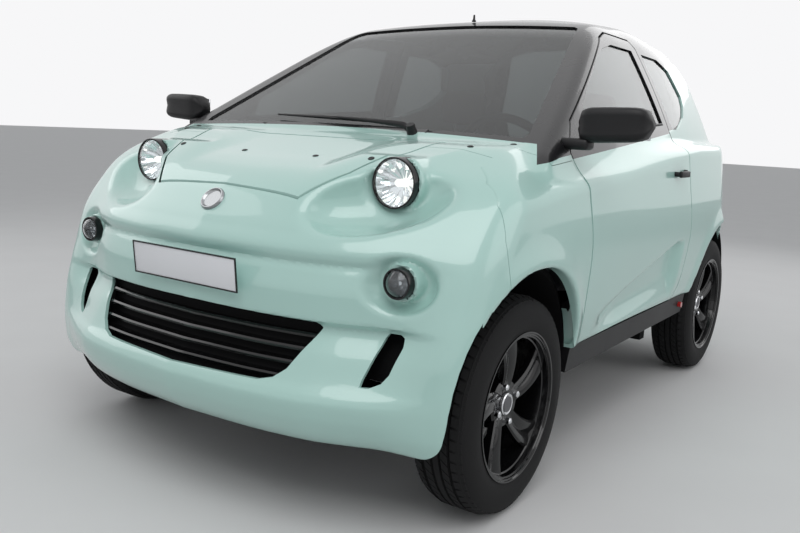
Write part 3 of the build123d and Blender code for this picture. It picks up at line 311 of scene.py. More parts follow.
def skinned(name, field, low, high, pitch):
    """Closed quad surface where a field is zero, its points drawn onto the surface."""
    axes = [np.arange(low[i], high[i] + pitch, pitch) for i in range(3)]
    grid = np.broadcast_to(field(axes[0][:, None, None], axes[1][None, :, None], axes[2][None, None, :]),
                           [len(a) for a in axes]).copy()
    for i in range(3):
        edge = [slice(None)] * 3
        for end in (0, -1):
            edge[i] = end
            grid[tuple(edge)] = np.maximum(grid[tuple(edge)], 1e-3)
    inside = grid < 0
    corners = sum(inside[i:len(axes[0]) - 1 + i, j:len(axes[1]) - 1 + j, k:len(axes[2]) - 1
                         + k].astype(np.int8)
                  for i in (0, 1) for j in (0, 1) for k in (0, 1))
    cells = np.argwhere((corners > 0) & (corners < 8))
    index = -np.ones(corners.shape, np.int64)
    index[tuple(cells.T)] = np.arange(len(cells))
    total, count = np.zeros((len(cells), 3)), np.zeros(len(cells))
    for axis in range(3):
        others = [i for i in range(3) if i != axis]
        for p in (0, 1):
            for q in (0, 1):
                start = cells.copy()
                start[:, others[0]] += p
                start[:, others[1]] += q
                end = start.copy()
                end[:, axis] += 1
                a, b = grid[tuple(start.T)], grid[tuple(end.T)]
                crossed = (a < 0) != (b < 0)
                share = np.where(crossed, a / np.where(crossed, a - b, 1), 0)
                place = start.astype(float)
                place[:, axis] += share
                total[crossed] += place[crossed]
                count[crossed] += 1
    verts = total / count[:, None] * pitch + np.array(low)
    d = 1e-4
    for _ in range(3):
        x, y, z = verts.T
        here = field(x, y, z)
        slope = np.stack([field(x + d, y, z) - here, field(x, y + d, z) - here, field(x, y, z + d) - here],
                         1) / d
        push = here[:, None] * slope / np.maximum((slope ** 2).sum(1), 0.15)[:, None]
        verts = verts - np.clip(push, -0.35 * pitch, 0.35 * pitch)
    faces = []
    for axis in range(3):
        first = [slice(None)] * 3
        second = [slice(None)] * 3
        first[axis], second[axis] = slice(None, -1), slice(1, None)
        a, b = inside[tuple(first)], inside[tuple(second)]
        u, v = (axis + 1) % 3, (axis + 2) % 3
        at = np.argwhere(a != b)
        at = at[(at[:, u] > 0) & (at[:, v] > 0) & (at[:, u] < grid.shape[u] - 1) & (at[:, v] < grid.shape[v]
                - 1)]
        eu, ev = np.zeros(3, int), np.zeros(3, int)
        eu[u], ev[v] = 1, 1
        quad = np.stack([index[tuple((at + s).T)] for s in (-eu - ev, -ev, 0 * eu, -eu)], 1)
        outward = a[tuple(at.T)]
        quad[~outward] = quad[~outward][:, ::-1]
        faces.append(quad)
    faces = np.concatenate(faces)
    return new_object(name, verts, faces[(faces >= 0).all(1)])


def prism(axis, rows, low, high, slant=0.0):
    """Outline filled along an axis: x takes (y, z), y takes (x, z), z takes (x, y)."""
    rows = [tuple(row) for row in rows]
    area = sum(a[0] * b[1] - b[0] * a[1] for a, b in zip(rows[-1:] + rows[:-1], rows))
    if (area > 0) == (axis == "y"):
        rows = rows[::-1]
    place = {"x": lambda u, v, w: (w, u + slant * (w - low), v), "y": lambda u, v, w: (u, w, v),
             "z": lambda u, v, w: (u, v, w)}[axis]
    count = len(rows)
    verts = [place(u, v, low) for u, v in rows] + [place(u, v, high) for u, v in rows]
    faces = [tuple(range(count))[::-1], tuple(range(count, 2 * count))]
    faces += [(i, (i + 1) % count, count + (i + 1) % count, count + i) for i in range(count)]
    return new_object("tool", verts, faces)


def mirrored(rows):
    """A half outline with its other half."""
    return rows + [(-row[0], *row[1:]) for row in rows[::-1] if abs(row[0]) > 1e-6]


def drawn_in(rows, distance):
    """An outline of straight lines, moved inward."""
    count = len(rows)
    area = sum(rows[i - 1][0] * rows[i][1] - rows[i][0] * rows[i - 1][1] for i in range(count))
    turn = 1 if area > 0 else -1
    moved = []
    for i in range(count):
        a, b, c = (np.array(rows[j % count], float) for j in (i - 1, i, i + 1))
        n0, n1 = ((q - p)[::-1] * (-turn, turn) / np.linalg.norm(q - p) for p, q in ((a, b), (b, c)))
        moved.append(tuple(b + (n0 + n1) * distance / (1 + n0 @ n1)))
    return moved


def copy_of(source, name):
    made = source.copy()
    made.data = source.data.copy()
    made.name = name
    bpy.context.scene.collection.objects.link(made)
    return made


def carved(base, how, *tools):
    """base after a boolean with each tool, which is used up."""
    for tool in tools:
        modifier = base.modifiers.new("boolean", "BOOLEAN")
        modifier.operation, modifier.solver, modifier.object = how, "MANIFOLD", tool
        result = bpy.data.meshes.new_from_object(base.evaluated_get(bpy.context.evaluated_depsgraph_get()))
        base.modifiers.clear()
        old, base.data = base.data, result
        bpy.data.meshes.remove(old)
        drop(tool)
        if not len(base.data.polygons):
            raise RuntimeError(f"nothing is left of {base.name}")
    return base


def drop(piece):
    data = piece.data
    bpy.data.objects.remove(piece)
    if isinstance(data, bpy.types.Mesh) and not data.users:
        bpy.data.meshes.remove(data)


def shaded(piece, degrees=35):
    """Smooth, with the edges sharper than this kept."""
    piece.data.polygons.foreach_set("use_smooth", np.ones(len(piece.data.polygons), bool))
    piece.data.set_sharp_from_angle(angle=math.radians(degrees))
    return piece


def settled(piece, name, rides, material, replaces=(), smooth=35):
    """The finished piece, named, with its material, its body and the nodes that it replaces."""
    piece.name = piece.data.name = name
    piece.data.materials.clear()
    piece.data.materials.append(material)
    piece.data.polygons.foreach_set("material_index", np.zeros(len(piece.data.polygons), np.int32))
    shaded(piece, smooth)
    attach(piece, rides)
    if replaces:
        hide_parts(*replaces)
    return piece


def applied(piece):
    """The piece with its modifiers made part of its mesh."""
    result = bpy.data.meshes.new_from_object(piece.evaluated_get(bpy.context.evaluated_depsgraph_get()))
    piece.modifiers.clear()
    old, piece.data = piece.data, result
    if isinstance(old, bpy.types.Mesh):
        bpy.data.meshes.remove(old)
    return piece


def joined(name, *pieces):
    """The pieces as one mesh, used up."""
    verts, faces, start = [], [], 0
    for piece in pieces:
        co = np.empty(len(piece.data.vertices) * 3)
        piece.data.vertices.foreach_get("co", co)
        verts.append(co.reshape(-1, 3))
        faces += [tuple(v + start for v in p.vertices) for p in piece.data.polygons]
        start += len(piece.data.vertices)
        drop(piece)
    return new_object(name, np.concatenate(verts), faces)


def moved(piece, matrix):
    piece.data.transform(matrix)
    if matrix.determinant() < 0:
        piece.data.flip_normals()
    return piece


def turned(rows, about="x", segments=64, name="turned"):
    """Closed outline of (along, radius) rows, turned about an axis."""
    rows = list(rows)
    area = sum(a[0] * b[1] - b[0] * a[1] for a, b in zip(rows[-1:] + rows[:-1], rows))
    if area < 0:
        rows = rows[::-1]
    count = len(rows)
    angles = np.arange(segments) * math.tau / segments
    verts = []
    for angle in angles:
        c, s = math.cos(angle), math.sin(angle)
        for along, radius in rows:
            verts.append({"x": (along, radius * c, radius * s), "y": (radius * s, along, radius * c),
                          "z": (radius * c, radius * s, along)}[about])
    faces = []
    for k in range(segments):
        n = (k + 1) % segments
        for i in range(count):
            j = (i + 1) % count
            faces.append((k * count + i, k * count + j, n * count + j, n * count + i))
    return new_object(name, verts, faces)


def rounded_box(low, high, radius, segments=3):
    verts = [(x, y, z) for x in (low[0], high[0]) for y in (low[1], high[1]) for z in (low[2], high[2])]
    faces = [(0, 1, 3, 2), (4, 6, 7, 5), (0, 4, 5, 1), (2, 3, 7, 6), (0, 2, 6, 4), (1, 5, 7, 3)]
    made = new_object("block", verts, faces)
    modifier = made.modifiers.new("round", "BEVEL")
    modifier.width, modifier.segments = radius, segments
    return applied(made)


# ------------------------------------------------------------ repeated pieces
def repeats_tree():
    """Geometry Nodes: copies of a mesh, each turned and shifted by one step more than the last."""
    if "Repeats" in bpy.data.node_groups:
        return bpy.data.node_groups["Repeats"]
    tree = bpy.data.node_groups.new("Repeats", "GeometryNodeTree")
    sockets = tree.interface
    sockets.new_socket("Geometry", in_out="INPUT", socket_type="NodeSocketGeometry")
    sockets.new_socket("Count", in_out="INPUT", socket_type="NodeSocketInt")
    sockets.new_socket("Turn", in_out="INPUT", socket_type="NodeSocketVector")
    sockets.new_socket("Shift", in_out="INPUT", socket_type="NodeSocketVector")
    sockets.new_socket("Material", in_out="INPUT", socket_type="NodeSocketMaterial")
    sockets.new_socket("Geometry", in_out="OUTPUT", socket_type="NodeSocketGeometry")
    add, link = tree.nodes.new, tree.links.new
    given, result, index = add("NodeGroupInput"), add("NodeGroupOutput"), add("GeometryNodeInputIndex")
    turn, shift = add("ShaderNodeVectorMath"), add("ShaderNodeVectorMath")
    points, euler = add("GeometryNodePoints"), add("FunctionNodeEulerToRotation")
    place = add("GeometryNodeInstanceOnPoints")
    real, finish_node = add("GeometryNodeRealizeInstances"), add("GeometryNodeSetMaterial")
    for scale, socket in ((turn, "Turn"), (shift, "Shift")):
        scale.operation = "SCALE"
        link(given.outputs[socket], scale.inputs["Vector"])
        link(index.outputs[0], scale.inputs["Scale"])
    link(given.outputs["Count"], points.inputs["Count"])
    link(shift.outputs[0], points.inputs["Position"])
    link(turn.outputs[0], euler.inputs[0])
    link(points.outputs[0], place.inputs["Points"])
    link(given.outputs["Geometry"], place.inputs["Instance"])
    link(euler.outputs[0], place.inputs["Rotation"])
    link(place.outputs[0], real.inputs[0])
    link(real.outputs[0], finish_node.inputs["Geometry"])
    link(given.outputs["Material"], finish_node.inputs["Material"])
    link(finish_node.outputs[0], result.inputs[0])
    return tree


def repeated(piece, count, turn=(0, 0, 0), shift=(0, 0, 0), material="trim_black"):
    """The piece and its copies as one mesh."""
    tree = repeats_tree()
    modifier = piece.modifiers.new("repeats", "NODES")
    modifier.node_group = tree
    keys = {item.name: item.identifier for item in tree.interface.items_tree if item.in_out == "INPUT"}
    modifier[keys["Count"]] = count
    modifier[keys["Turn"]] = turn
    modifier[keys["Shift"]] = shift
    modifier[keys["Material"]] = material_of(material)
    return applied(piece)


def swept(sections):
    """Closed tube through rings of points, each ring a list of places."""
    count = len(sections[0])
    verts = [tuple(v) for ring in sections for v in ring]
    faces = []
    for i in range(len(sections) - 1):
        for j in range(count):
            k = (j + 1) % count
            faces.append((i * count + j, i * count + k, (i + 1) * count + k, (i + 1) * count + j))
    faces += [tuple(range(count))[::-1], tuple(range((len(sections) - 1) * count, len(sections) * count))]
    return fixed_out(new_object("swept", verts, faces))


def rod(places, radius, sides=10):
    """Round bar through places, its radius one value or one for each place."""
    places = [Vector(q) for q in places]
    radii = radius if isinstance(radius, (list, tuple)) else [radius] * len(places)
    rings = []
    for i, at in enumerate(places):
        ahead = (places[min(i + 1, len(places) - 1)] - places[max(i - 1, 0)]).normalized()
        side = ahead.cross(Vector((0, 0, 1)) if abs(ahead.z) < 0.9 else Vector((1, 0, 0))).normalized()
        up = side.cross(ahead)
        rings.append([at + (side * math.cos(a) + up * math.sin(a)) * radii[i]
                      for a in (k * math.tau / sides for k in range(sides))])
    return swept(rings)


def surface_y(x, z):
    """y of the nose's surface at a place seen from ahead."""
    return F(float(NOSE_FACE(z)) + float(NOSE_PLAN(abs(x))))


def top_z(x, y):
    """Height of the body's top at a place seen from above."""
    z = np.arange(0.70, 1.0, 0.0002)
    return float(z[body(np.full_like(z, x), np.full_like(z, y), z) < 0].max())


# ------------------------------------------------------------ finishes
def finish(name, colour, rough=0.5, metal=0.0, coat=0.0, tone=0.05, grain=(400, 0.1), patch=6.0, sheen=0.0,
           see_through=0.0,
           glow=0.0, rough_spread=0.06, ior=1.5, gleam=0.5):
    """A finish whose tone and roughness drift over the piece and whose grain is raised."""
    material = bpy.data.materials.new(name)
    material.use_nodes = True
    nodes, links = material.node_tree.nodes, material.node_tree.links
    shader = nodes["Principled BSDF"]
    place = nodes.new("ShaderNodeTexCoord")
    cloud = nodes.new("ShaderNodeTexNoise")
    cloud.inputs["Scale"].default_value = patch
    cloud.inputs["Detail"].default_value = 4
    links.new(place.outputs["Object"], cloud.inputs["Vector"])
    mix = nodes.new("ShaderNodeMix")
    mix.data_type = "RGBA"
    mix.inputs["A"].default_value = (*[c * (1 - tone) for c in colour[:3]], 1)
    mix.inputs["B"].default_value = (*[min(c * (1 + tone), 1) for c in colour[:3]], 1)
    links.new(cloud.outputs["Fac"], mix.inputs["Factor"])
    links.new(mix.outputs["Result"], shader.inputs["Base Color"])
    spread = nodes.new("ShaderNodeMapRange")
    spread.inputs["To Min"].default_value = max(rough - rough_spread, 0.0)
    spread.inputs["To Max"].default_value = min(rough + rough_spread, 1.0)
    links.new(cloud.outputs["Fac"], spread.inputs["Value"])
    links.new(spread.outputs["Result"], shader.inputs["Roughness"])
    fine = nodes.new("ShaderNodeTexNoise")
    fine.inputs["Scale"].default_value = grain[0]
    links.new(place.outputs["Object"], fine.inputs["Vector"])
    raised = nodes.new("ShaderNodeBump")
    raised.inputs["Strength"].default_value = grain[1]
    raised.inputs["Distance"].default_value = 0.0006
    links.new(fine.outputs["Fac"], raised.inputs["Height"])
    links.new(raised.outputs["Normal"], shader.inputs["Normal"])
    shader.inputs["Metallic"].default_value = metal
    shader.inputs["Coat Weight"].default_value = coat
    shader.inputs["Coat Roughness"].default_value = 0.04
    shader.inputs["Sheen Weight"].default_value = sheen
    shader.inputs["Transmission Weight"].default_value = see_through
    shader.inputs["IOR"].default_value = ior
    shader.inputs["Specular IOR Level"].default_value = gleam
    # glow is the headlamp bulb's light, and on the headlamp reflector a faint painted glow
    if glow:
        shader.inputs["Emission Color"].default_value = (1, 0.98, 0.92, 1)
        shader.inputs["Emission Strength"].default_value = glow
    return material


FINISHES = {
    # name: colour, roughness, metal, coat, tone, grain, and the rest by name
    "paint": dict(colour=(0.415, 0.640, 0.585), rough=0.34, coat=0.9, tone=0.02, grain=(900, 0.02),
                  patch=2.0),
    "roof_black": dict(colour=(0.008, 0.008, 0.009), rough=0.28, coat=0.5, tone=0.15, grain=(700, 0.02),
                       gleam=0.3),
    "trim_black": dict(colour=(0.009, 0.009, 0.010), rough=0.44, tone=0.2, grain=(1500, 0.25), gleam=0.3),
    "gloss_black": dict(colour=(0.004, 0.004, 0.0045), rough=0.14, coat=0.35, tone=0.2, grain=(600, 0.03),
                        gleam=0.3),
    "rubber": dict(colour=(0.010, 0.010, 0.0105), rough=0.75, tone=0.25, grain=(500, 0.5), gleam=0.2),
    "under_black": dict(colour=(0.008, 0.008, 0.0085), rough=0.80, tone=0.2, grain=(300, 0.5), gleam=0.1),
    "glass": dict(colour=(0.20, 0.225, 0.225), rough=0.0, see_through=1.0, tone=0.02, grain=(3, 0.0),
                  rough_spread=0.0, ior=1.45),
    "lens": dict(colour=(0.93, 0.96, 0.97), rough=0.02, see_through=1.0, tone=0.02, grain=(120, 0.10),
                 rough_spread=0.01, ior=1.4),
    # The headlamp reflector carries a faint painted glow: emission that stands in for light in its bowl.
    "reflector_painted_glow": dict(colour=(0.86, 0.87, 0.88), rough=0.14, metal=1.0, tone=0.04, grain=(90, 1.0),
                      glow=0.05),
    "fog_reflector": dict(colour=(0.34, 0.35, 0.36), rough=0.22, metal=1.0, tone=0.06, grain=(150, 0.5)),
    "bulb": dict(colour=(1.0, 0.98, 0.9), rough=0.3, tone=0.02, glow=0.9),
    "chrome": dict(colour=(0.72, 0.73, 0.75), rough=0.14, metal=1.0, tone=0.06, grain=(300, 0.05)),
    "badge_metal": dict(colour=(0.36, 0.37, 0.38), rough=0.24, metal=1.0, tone=0.08, grain=(300, 0.05)),
    "alloy": dict(colour=(0.42, 0.43, 0.45), rough=0.36, metal=0.9, tone=0.12, grain=(250, 0.3)),
    "steel": dict(colour=(0.16, 0.16, 0.17), rough=0.42, metal=0.9, tone=0.25, grain=(250, 0.4)),
    "iron": dict(colour=(0.06, 0.06, 0.062), rough=0.55, metal=0.6, tone=0.3, grain=(200, 0.8)),
    "red_lens": dict(colour=(0.45, 0.012, 0.012), rough=0.10, coat=1.0, tone=0.1, grain=(200, 0.2)),
    "plate": dict(colour=(0.80, 0.81, 0.84), rough=0.30, coat=0.4, tone=0.02, grain=(900, 0.1)),
    "seat_cloth": dict(colour=(0.060, 0.061, 0.066), rough=0.88, sheen=0.4, tone=0.25, grain=(1600, 1.0)),
    "headlining": dict(colour=(0.30, 0.30, 0.30), rough=0.9, tone=0.08, grain=(1400, 0.8)),
}
finishes = {}


def material_of(name):
    if name not in finishes:
        finishes[name] = finish(name, **FINISHES[name])
    return finishes[name]


# ------------------------------------------------------------ outlines of the panels
def along(rows):
    return [(F(y), z) for y, z in rows]


BONNET_FRONT, BONNET_REAR, BROW_REAR, SCREEN_BASE = F(-0.322), F(0.062), F(-0.020), F(0.140)
BONNET_HALF = [(0, BONNET_FRONT), (0.248, BONNET_FRONT), (0.330, F(-0.230)), (0.380, F(-0.110)),
               (0.418, F(0.020)), (0.418, BONNET_REAR), (0, BONNET_REAR)]
WING = [(-0.053, 0.960), (-0.053, 0.875), (-0.116, 0.829), (-0.148, 0.784), (-0.161, 0.708),
        (-0.151, 0.600), (-0.020, 0.300), (0.100, 0.368), (0.328, 0.368),
        (0.312, 0.560), (0.304, 0.690), (0.280, 0.820), (0.244, 0.884), (0.110, 0.872), (0.060, 0.960)]
# Half plan of the scuttle, with the corners that run back to the doors,
# then side views: what is black above those corners, and what is painted there.
SCUTTLE_HALF = [(0, BROW_REAR + 0.001), (0.72, BROW_REAR + 0.001), (0.72, F(0.36)), (0.605, F(0.36)),
                (0.605, SCREEN_BASE), (0, SCREEN_BASE)]
PILLAR_FOOT = [(0.141, 0.887), (0.168, 0.892), (0.318, 0.907), (0.40, 0.915), (0.40, 1.05), (0.141, 1.05)]
CORNER = [(0.10, 0.80), (0.40, 0.80), (0.40, 0.915), (0.318, 0.907), (0.168, 0.892), (0.141, 0.887),
          (0.141, 1.05), (0.10, 1.05)]
# Where a pillar's foot runs ahead of the screen: its plan and its side view.
TOE_PLAN = [(0.683, 0.057), (0.80, 0.057), (0.80, 0.141), (0.639, 0.141)]
TOE_SIDE = [(0.050, 0.871), (0.150, 0.8886), (0.150, 1.05), (0.050, 1.05)]
GRILLE_OPENING = [(0, 0.356), (0.270, 0.361), (0.305, 0.370), (0.332, 0.392), (0.384, 0.486),
                  (0.374, 0.500), (0, 0.506)]
SLOT = [(0.502, 0.372), (0.522, 0.373), (0.545, 0.385), (0.558, 0.405), (0.572, 0.465), (0.570, 0.485),
        (0.560, 0.491), (0.530, 0.490),
        (0.522, 0.478), (0.502, 0.385)]
DOOR = [(0.334, 0.374), (0.318, 0.560), (0.310, 0.690), (0.286, 0.820), (0.250, 0.905), (0.262, 0.935),
        (0.300, 0.986), (0.800, 1.262),
        (0.880, 1.286), (1.110, 1.286), (1.146, 1.262), (1.212, 0.985), (1.240, 0.860), (1.286, 0.600),
        (1.272, 0.420), (1.240, 0.374)]
DOOR_SLANT = 0.32
SIDE_X = ([0.2, 0.368, 0.650, 0.860, 0.950, 1.290], [0.700, 0.714, 0.749, 0.712, 0.662, 0.505])
DOOR_WINDOW = [(0.420, 0.950), (0.420, 1.035), (0.530, 1.104), (0.674, 1.188), (0.776, 1.228),
               (0.875, 1.250), (1.088, 1.252), (1.158, 1.002)]
WAIST = [(0.200, 0.884), (1.300, 0.983)]
# Front view of the space between the doors.
BETWEEN_DOORS = [(0, 0.300), (0.638, 0.300), (0.638, 0.840), (0.600, 0.950), (0.435, 1.300), (0, 1.300)]
QUARTER = [(1.240, 0.368), (1.278, 0.420), (1.292, 0.600), (1.246, 0.860), (1.218, 0.985), (1.268, 0.990),
           (1.510, 1.240), (1.821, 1.272), (2.365, 1.272), (2.365, 0.368)]
QUARTER_WINDOW = [(1.268, 0.990), (1.196, 1.250), (1.400, 1.250), (1.530, 1.218), (1.596, 1.125),
                  (1.570, 1.085), (1.496, 1.040), (1.350, 0.992)]
ROOF_FRONT, ROOF_REAR = F(0.864), R(0.056)
ROOF_HALF = [(0, ROOF_FRONT), (0.440, ROOF_FRONT), (0.430, F(1.400)), (0.390, ROOF_REAR), (0, ROOF_REAR)]
GATE_Y = ROOF_REAR + GAP
GATE_HALF = [(0, 0.642), (0.505, 0.642), (0.560, 0.760), (0.548, 0.960), (0.400, 1.370), (0.380, 1.500),
             (0, 1.500)]
TAIL_WINDOW = [(0, 0.850), (0.470, 0.850), (0.474, 0.960), (0.352, 1.310), (0.330, 1.330), (0, 1.340)]
SCREEN_GLASS = [(0, 0.022), (0.590, 0.022), (0.596, 0.050), (0.444, 0.752), (0.424, 0.772), (0, 0.786)]


def door_tool(gap, sign):
    rows = [(F(y) - (float(np.interp(z, *SIDE_X)) - 0.3) * DOOR_SLANT, z) for y, z in DOOR]
    tool = prism("x", drawn_in(rows, -gap), 0.3, 0.9, DOOR_SLANT)
    return moved(tool, Matrix.Scale(-1, 4, (1, 0, 0))) if sign < 0 else tool


def side_tool(rows, sign, low=0.3, high=0.9, gap=0.0):
    rows = drawn_in(along(rows), -gap) if gap else along(rows)
    return prism("x", rows, *sorted((sign * low, sign * high)))


def toe_tool(sign):
    """The space of a pillar's foot ahead of the screen."""
    plan = prism("z", [(sign * x, F(y)) for x, y in TOE_PLAN], 0.80, 1.05)
    return carved(plan, "INTERSECT", side_tool(TOE_SIDE, sign, 0.5))


def arch_tool(y, sign, grow, lip=0.722):
    """What lies inside the lip of a wheel arch."""
    return side_tool(arch_outline(y, grow), sign, 0.3, lip)


def arch_lining(y, sign, reach):
    """Black band inside a wheel arch, behind its lip."""
    outer, inner = (along(arch_outline(y, grow)) for grow in (0.009, 0.004))
    rows = [(a, b) for a, b in outer + inner[::-1] if b > 0.40]
    return prism("x", rows, *sorted((sign * 0.60, sign * reach)))


def screen_tool(gap, deep=0.10):
    """The windscreen's opening, square to the screen."""
    (y0, z0), (y1, z1) = SCREEN_FOOT, SCREEN_HEAD
    up = Vector((0, y1 - y0, z1 - z0)).normalized()
    out = Vector((0, -up.z, up.y))
    foot = Vector((0, F(y0), z0))
    rows = drawn_in(mirrored(SCREEN_GLASS), gap)
    count = len(rows)
    verts = [foot + Vector((u, 0, 0)) + up * v + out * w for w in (-deep, deep) for u, v in rows]
    faces = [tuple(range(count))[::-1], tuple(range(count, 2 * count))] + [(i, (i + 1) % count,
            count + (i + 1) % count, count + i) for i in range(count)]
    tool = new_object("tool", verts, faces)
    bpy.context.view_layer.update()
    return fixed_out(tool)


def fixed_out(piece):
    """Faces turned outward on a closed mesh, by the sign of its volume."""
    data = piece.data
    volume = 0.0
    for p in data.polygons:
        a = data.vertices[p.vertices[0]].co
        for i in range(1, len(p.vertices) - 1):
            b, c = data.vertices[p.vertices[i]].co, data.vertices[p.vertices[i + 1]].co
            volume += a.dot(b.cross(c))
    if volume < 0:
        data.flip_normals()
    return piece


forms = {}


def form(part, inset):
    """The front or the rear of the body as a solid, drawn in by a distance."""
    key = part, inset
    if key not in forms:
        fine = inset == 0

        def field(x, y, z):
            return body(x, y, z) + inset

        if part == "front":
            pitch = 0.0065 if fine else 0.012
            forms[key] = skinned(f"form_{part}_{inset}", field, (-0.78, -1.41, 0.20), (0.78, F(0.40), 1.05),
                                 pitch)
        else:
            pitch = 0.009 if fine or inset < 0.02 else 0.018
            forms[key] = skinned(f"form_{part}_{inset}", field, (-0.78, F(0.02), 0.20), (0.78, 1.40, 1.46),
                                 pitch)
    return copy_of(forms[key], "work")


class MicrocarSizes(bpy.types.PropertyGroup):
    paint: bpy.props.FloatVectorProperty(name="Paint", description="Colour of the painted panels",
            subtype="COLOR", size=3, default=FINISHES["paint"]["colour"], min=0, max=1)
    tread_blocks: bpy.props.IntProperty(name="Tread blocks", description="Blocks round one tyre shoulder",
                                        default=62, min=20, max=120)
    tread_depth: bpy.props.FloatProperty(name="Tread depth", description="Depth of the tyre's grooves",
                                         default=0.004, unit="LENGTH")
    spokes: bpy.props.IntProperty(name="Spokes", description="Double spokes in a wheel", default=5, min=3,
                                  max=9)
    slats: bpy.props.IntProperty(name="Grille slats", description="Slats across the lower grille",
                                 default=4, min=2, max=8)


class MICROCAR_OT_front(bpy.types.Operator):
    """Build the fascia, the wings, the bonnet and the scuttle"""

    bl_idname = "microcar.front"
    bl_label = "Front Panels"

    def execute(self, context):
        paint = material_of("paint")
        shell = carved(form("front", 0), "DIFFERENCE", form("front", SKIN))
        lid = mirrored(BONNET_HALF)
        bonnet = carved(copy_of(shell, "bonnet"), "INTERSECT", prism("z", drawn_in(lid, GAP / 2), 0.70,
                1.0))
        settled(bonnet, "bonnet_skin", "bonnet", paint, ("bonnet",))
        wings = []
        for sign in SIDES:
            wing = carved(copy_of(shell, "wing"), "INTERSECT", side_tool(WING, sign, 0.60))
            wings.append(carved(wing, "DIFFERENCE", door_tool(GAP, sign), arch_tool(0.0, sign, ARCH_LIP),
                                toe_tool(sign)))
        settled(joined("wings", *wings), "wing_skins", "body", paint, ("wings",))
        scuttle = carved(copy_of(shell, "scuttle"), "INTERSECT", prism("z", mirrored(SCUTTLE_HALF), 0.78,
                1.0))
        scuttle = carved(scuttle, "DIFFERENCE", prism("z", drawn_in(lid, -GAP / 2), 0.70, 1.0),
                         *[side_tool(WING, sign, 0.60, gap=SEAM) for sign in SIDES],
                         *[door_tool(GAP, sign) for sign in SIDES],
                         *[side_tool(PILLAR_FOOT, sign, 0.58) for sign in SIDES],
                         *[toe_tool(sign) for sign in SIDES])
        settled(scuttle, "scuttle_skin", "body", paint, ("scuttle",))
        fascia = carved(copy_of(shell, "fascia"), "INTERSECT",
                        prism("z", [(-0.9, F(-0.7)), (0.9, F(-0.7)), (0.9, BROW_REAR - 0.001),
                                    (-0.9, BROW_REAR - 0.001)], 0.1, 1.0))
        fascia = carved(fascia, "DIFFERENCE", prism("z", drawn_in(lid, -GAP / 2), 0.70, 1.0),
                        *[side_tool(WING, sign, 0.60, gap=SEAM) for sign in SIDES],
                        *[arch_tool(0.0, sign, ARCH_LIP) for sign in SIDES],
                        prism("y", mirrored(GRILLE_OPENING), F(-0.56), F(-0.36)),
                        *[prism("y", [(sign * x, z) for x, z in SLOT], F(-0.52), F(-0.25))
                          for sign in SIDES],
                        prism("z", [(-0.61, F(-0.215)), (0.61, F(-0.215)), (0.61, F(0.2)), (-0.61, F(0.2))],
                              0.1, 0.70),
                        prism("z", [(-0.39, F(-0.40)), (0.39, F(-0.40)), (0.39, F(0.2)), (-0.39, F(0.2))],
                              0.1, 0.232))
        settled(fascia, "front_fascia_skin", "body", paint, ("front_fascia",))
        drop(shell)
        return {"FINISHED"}


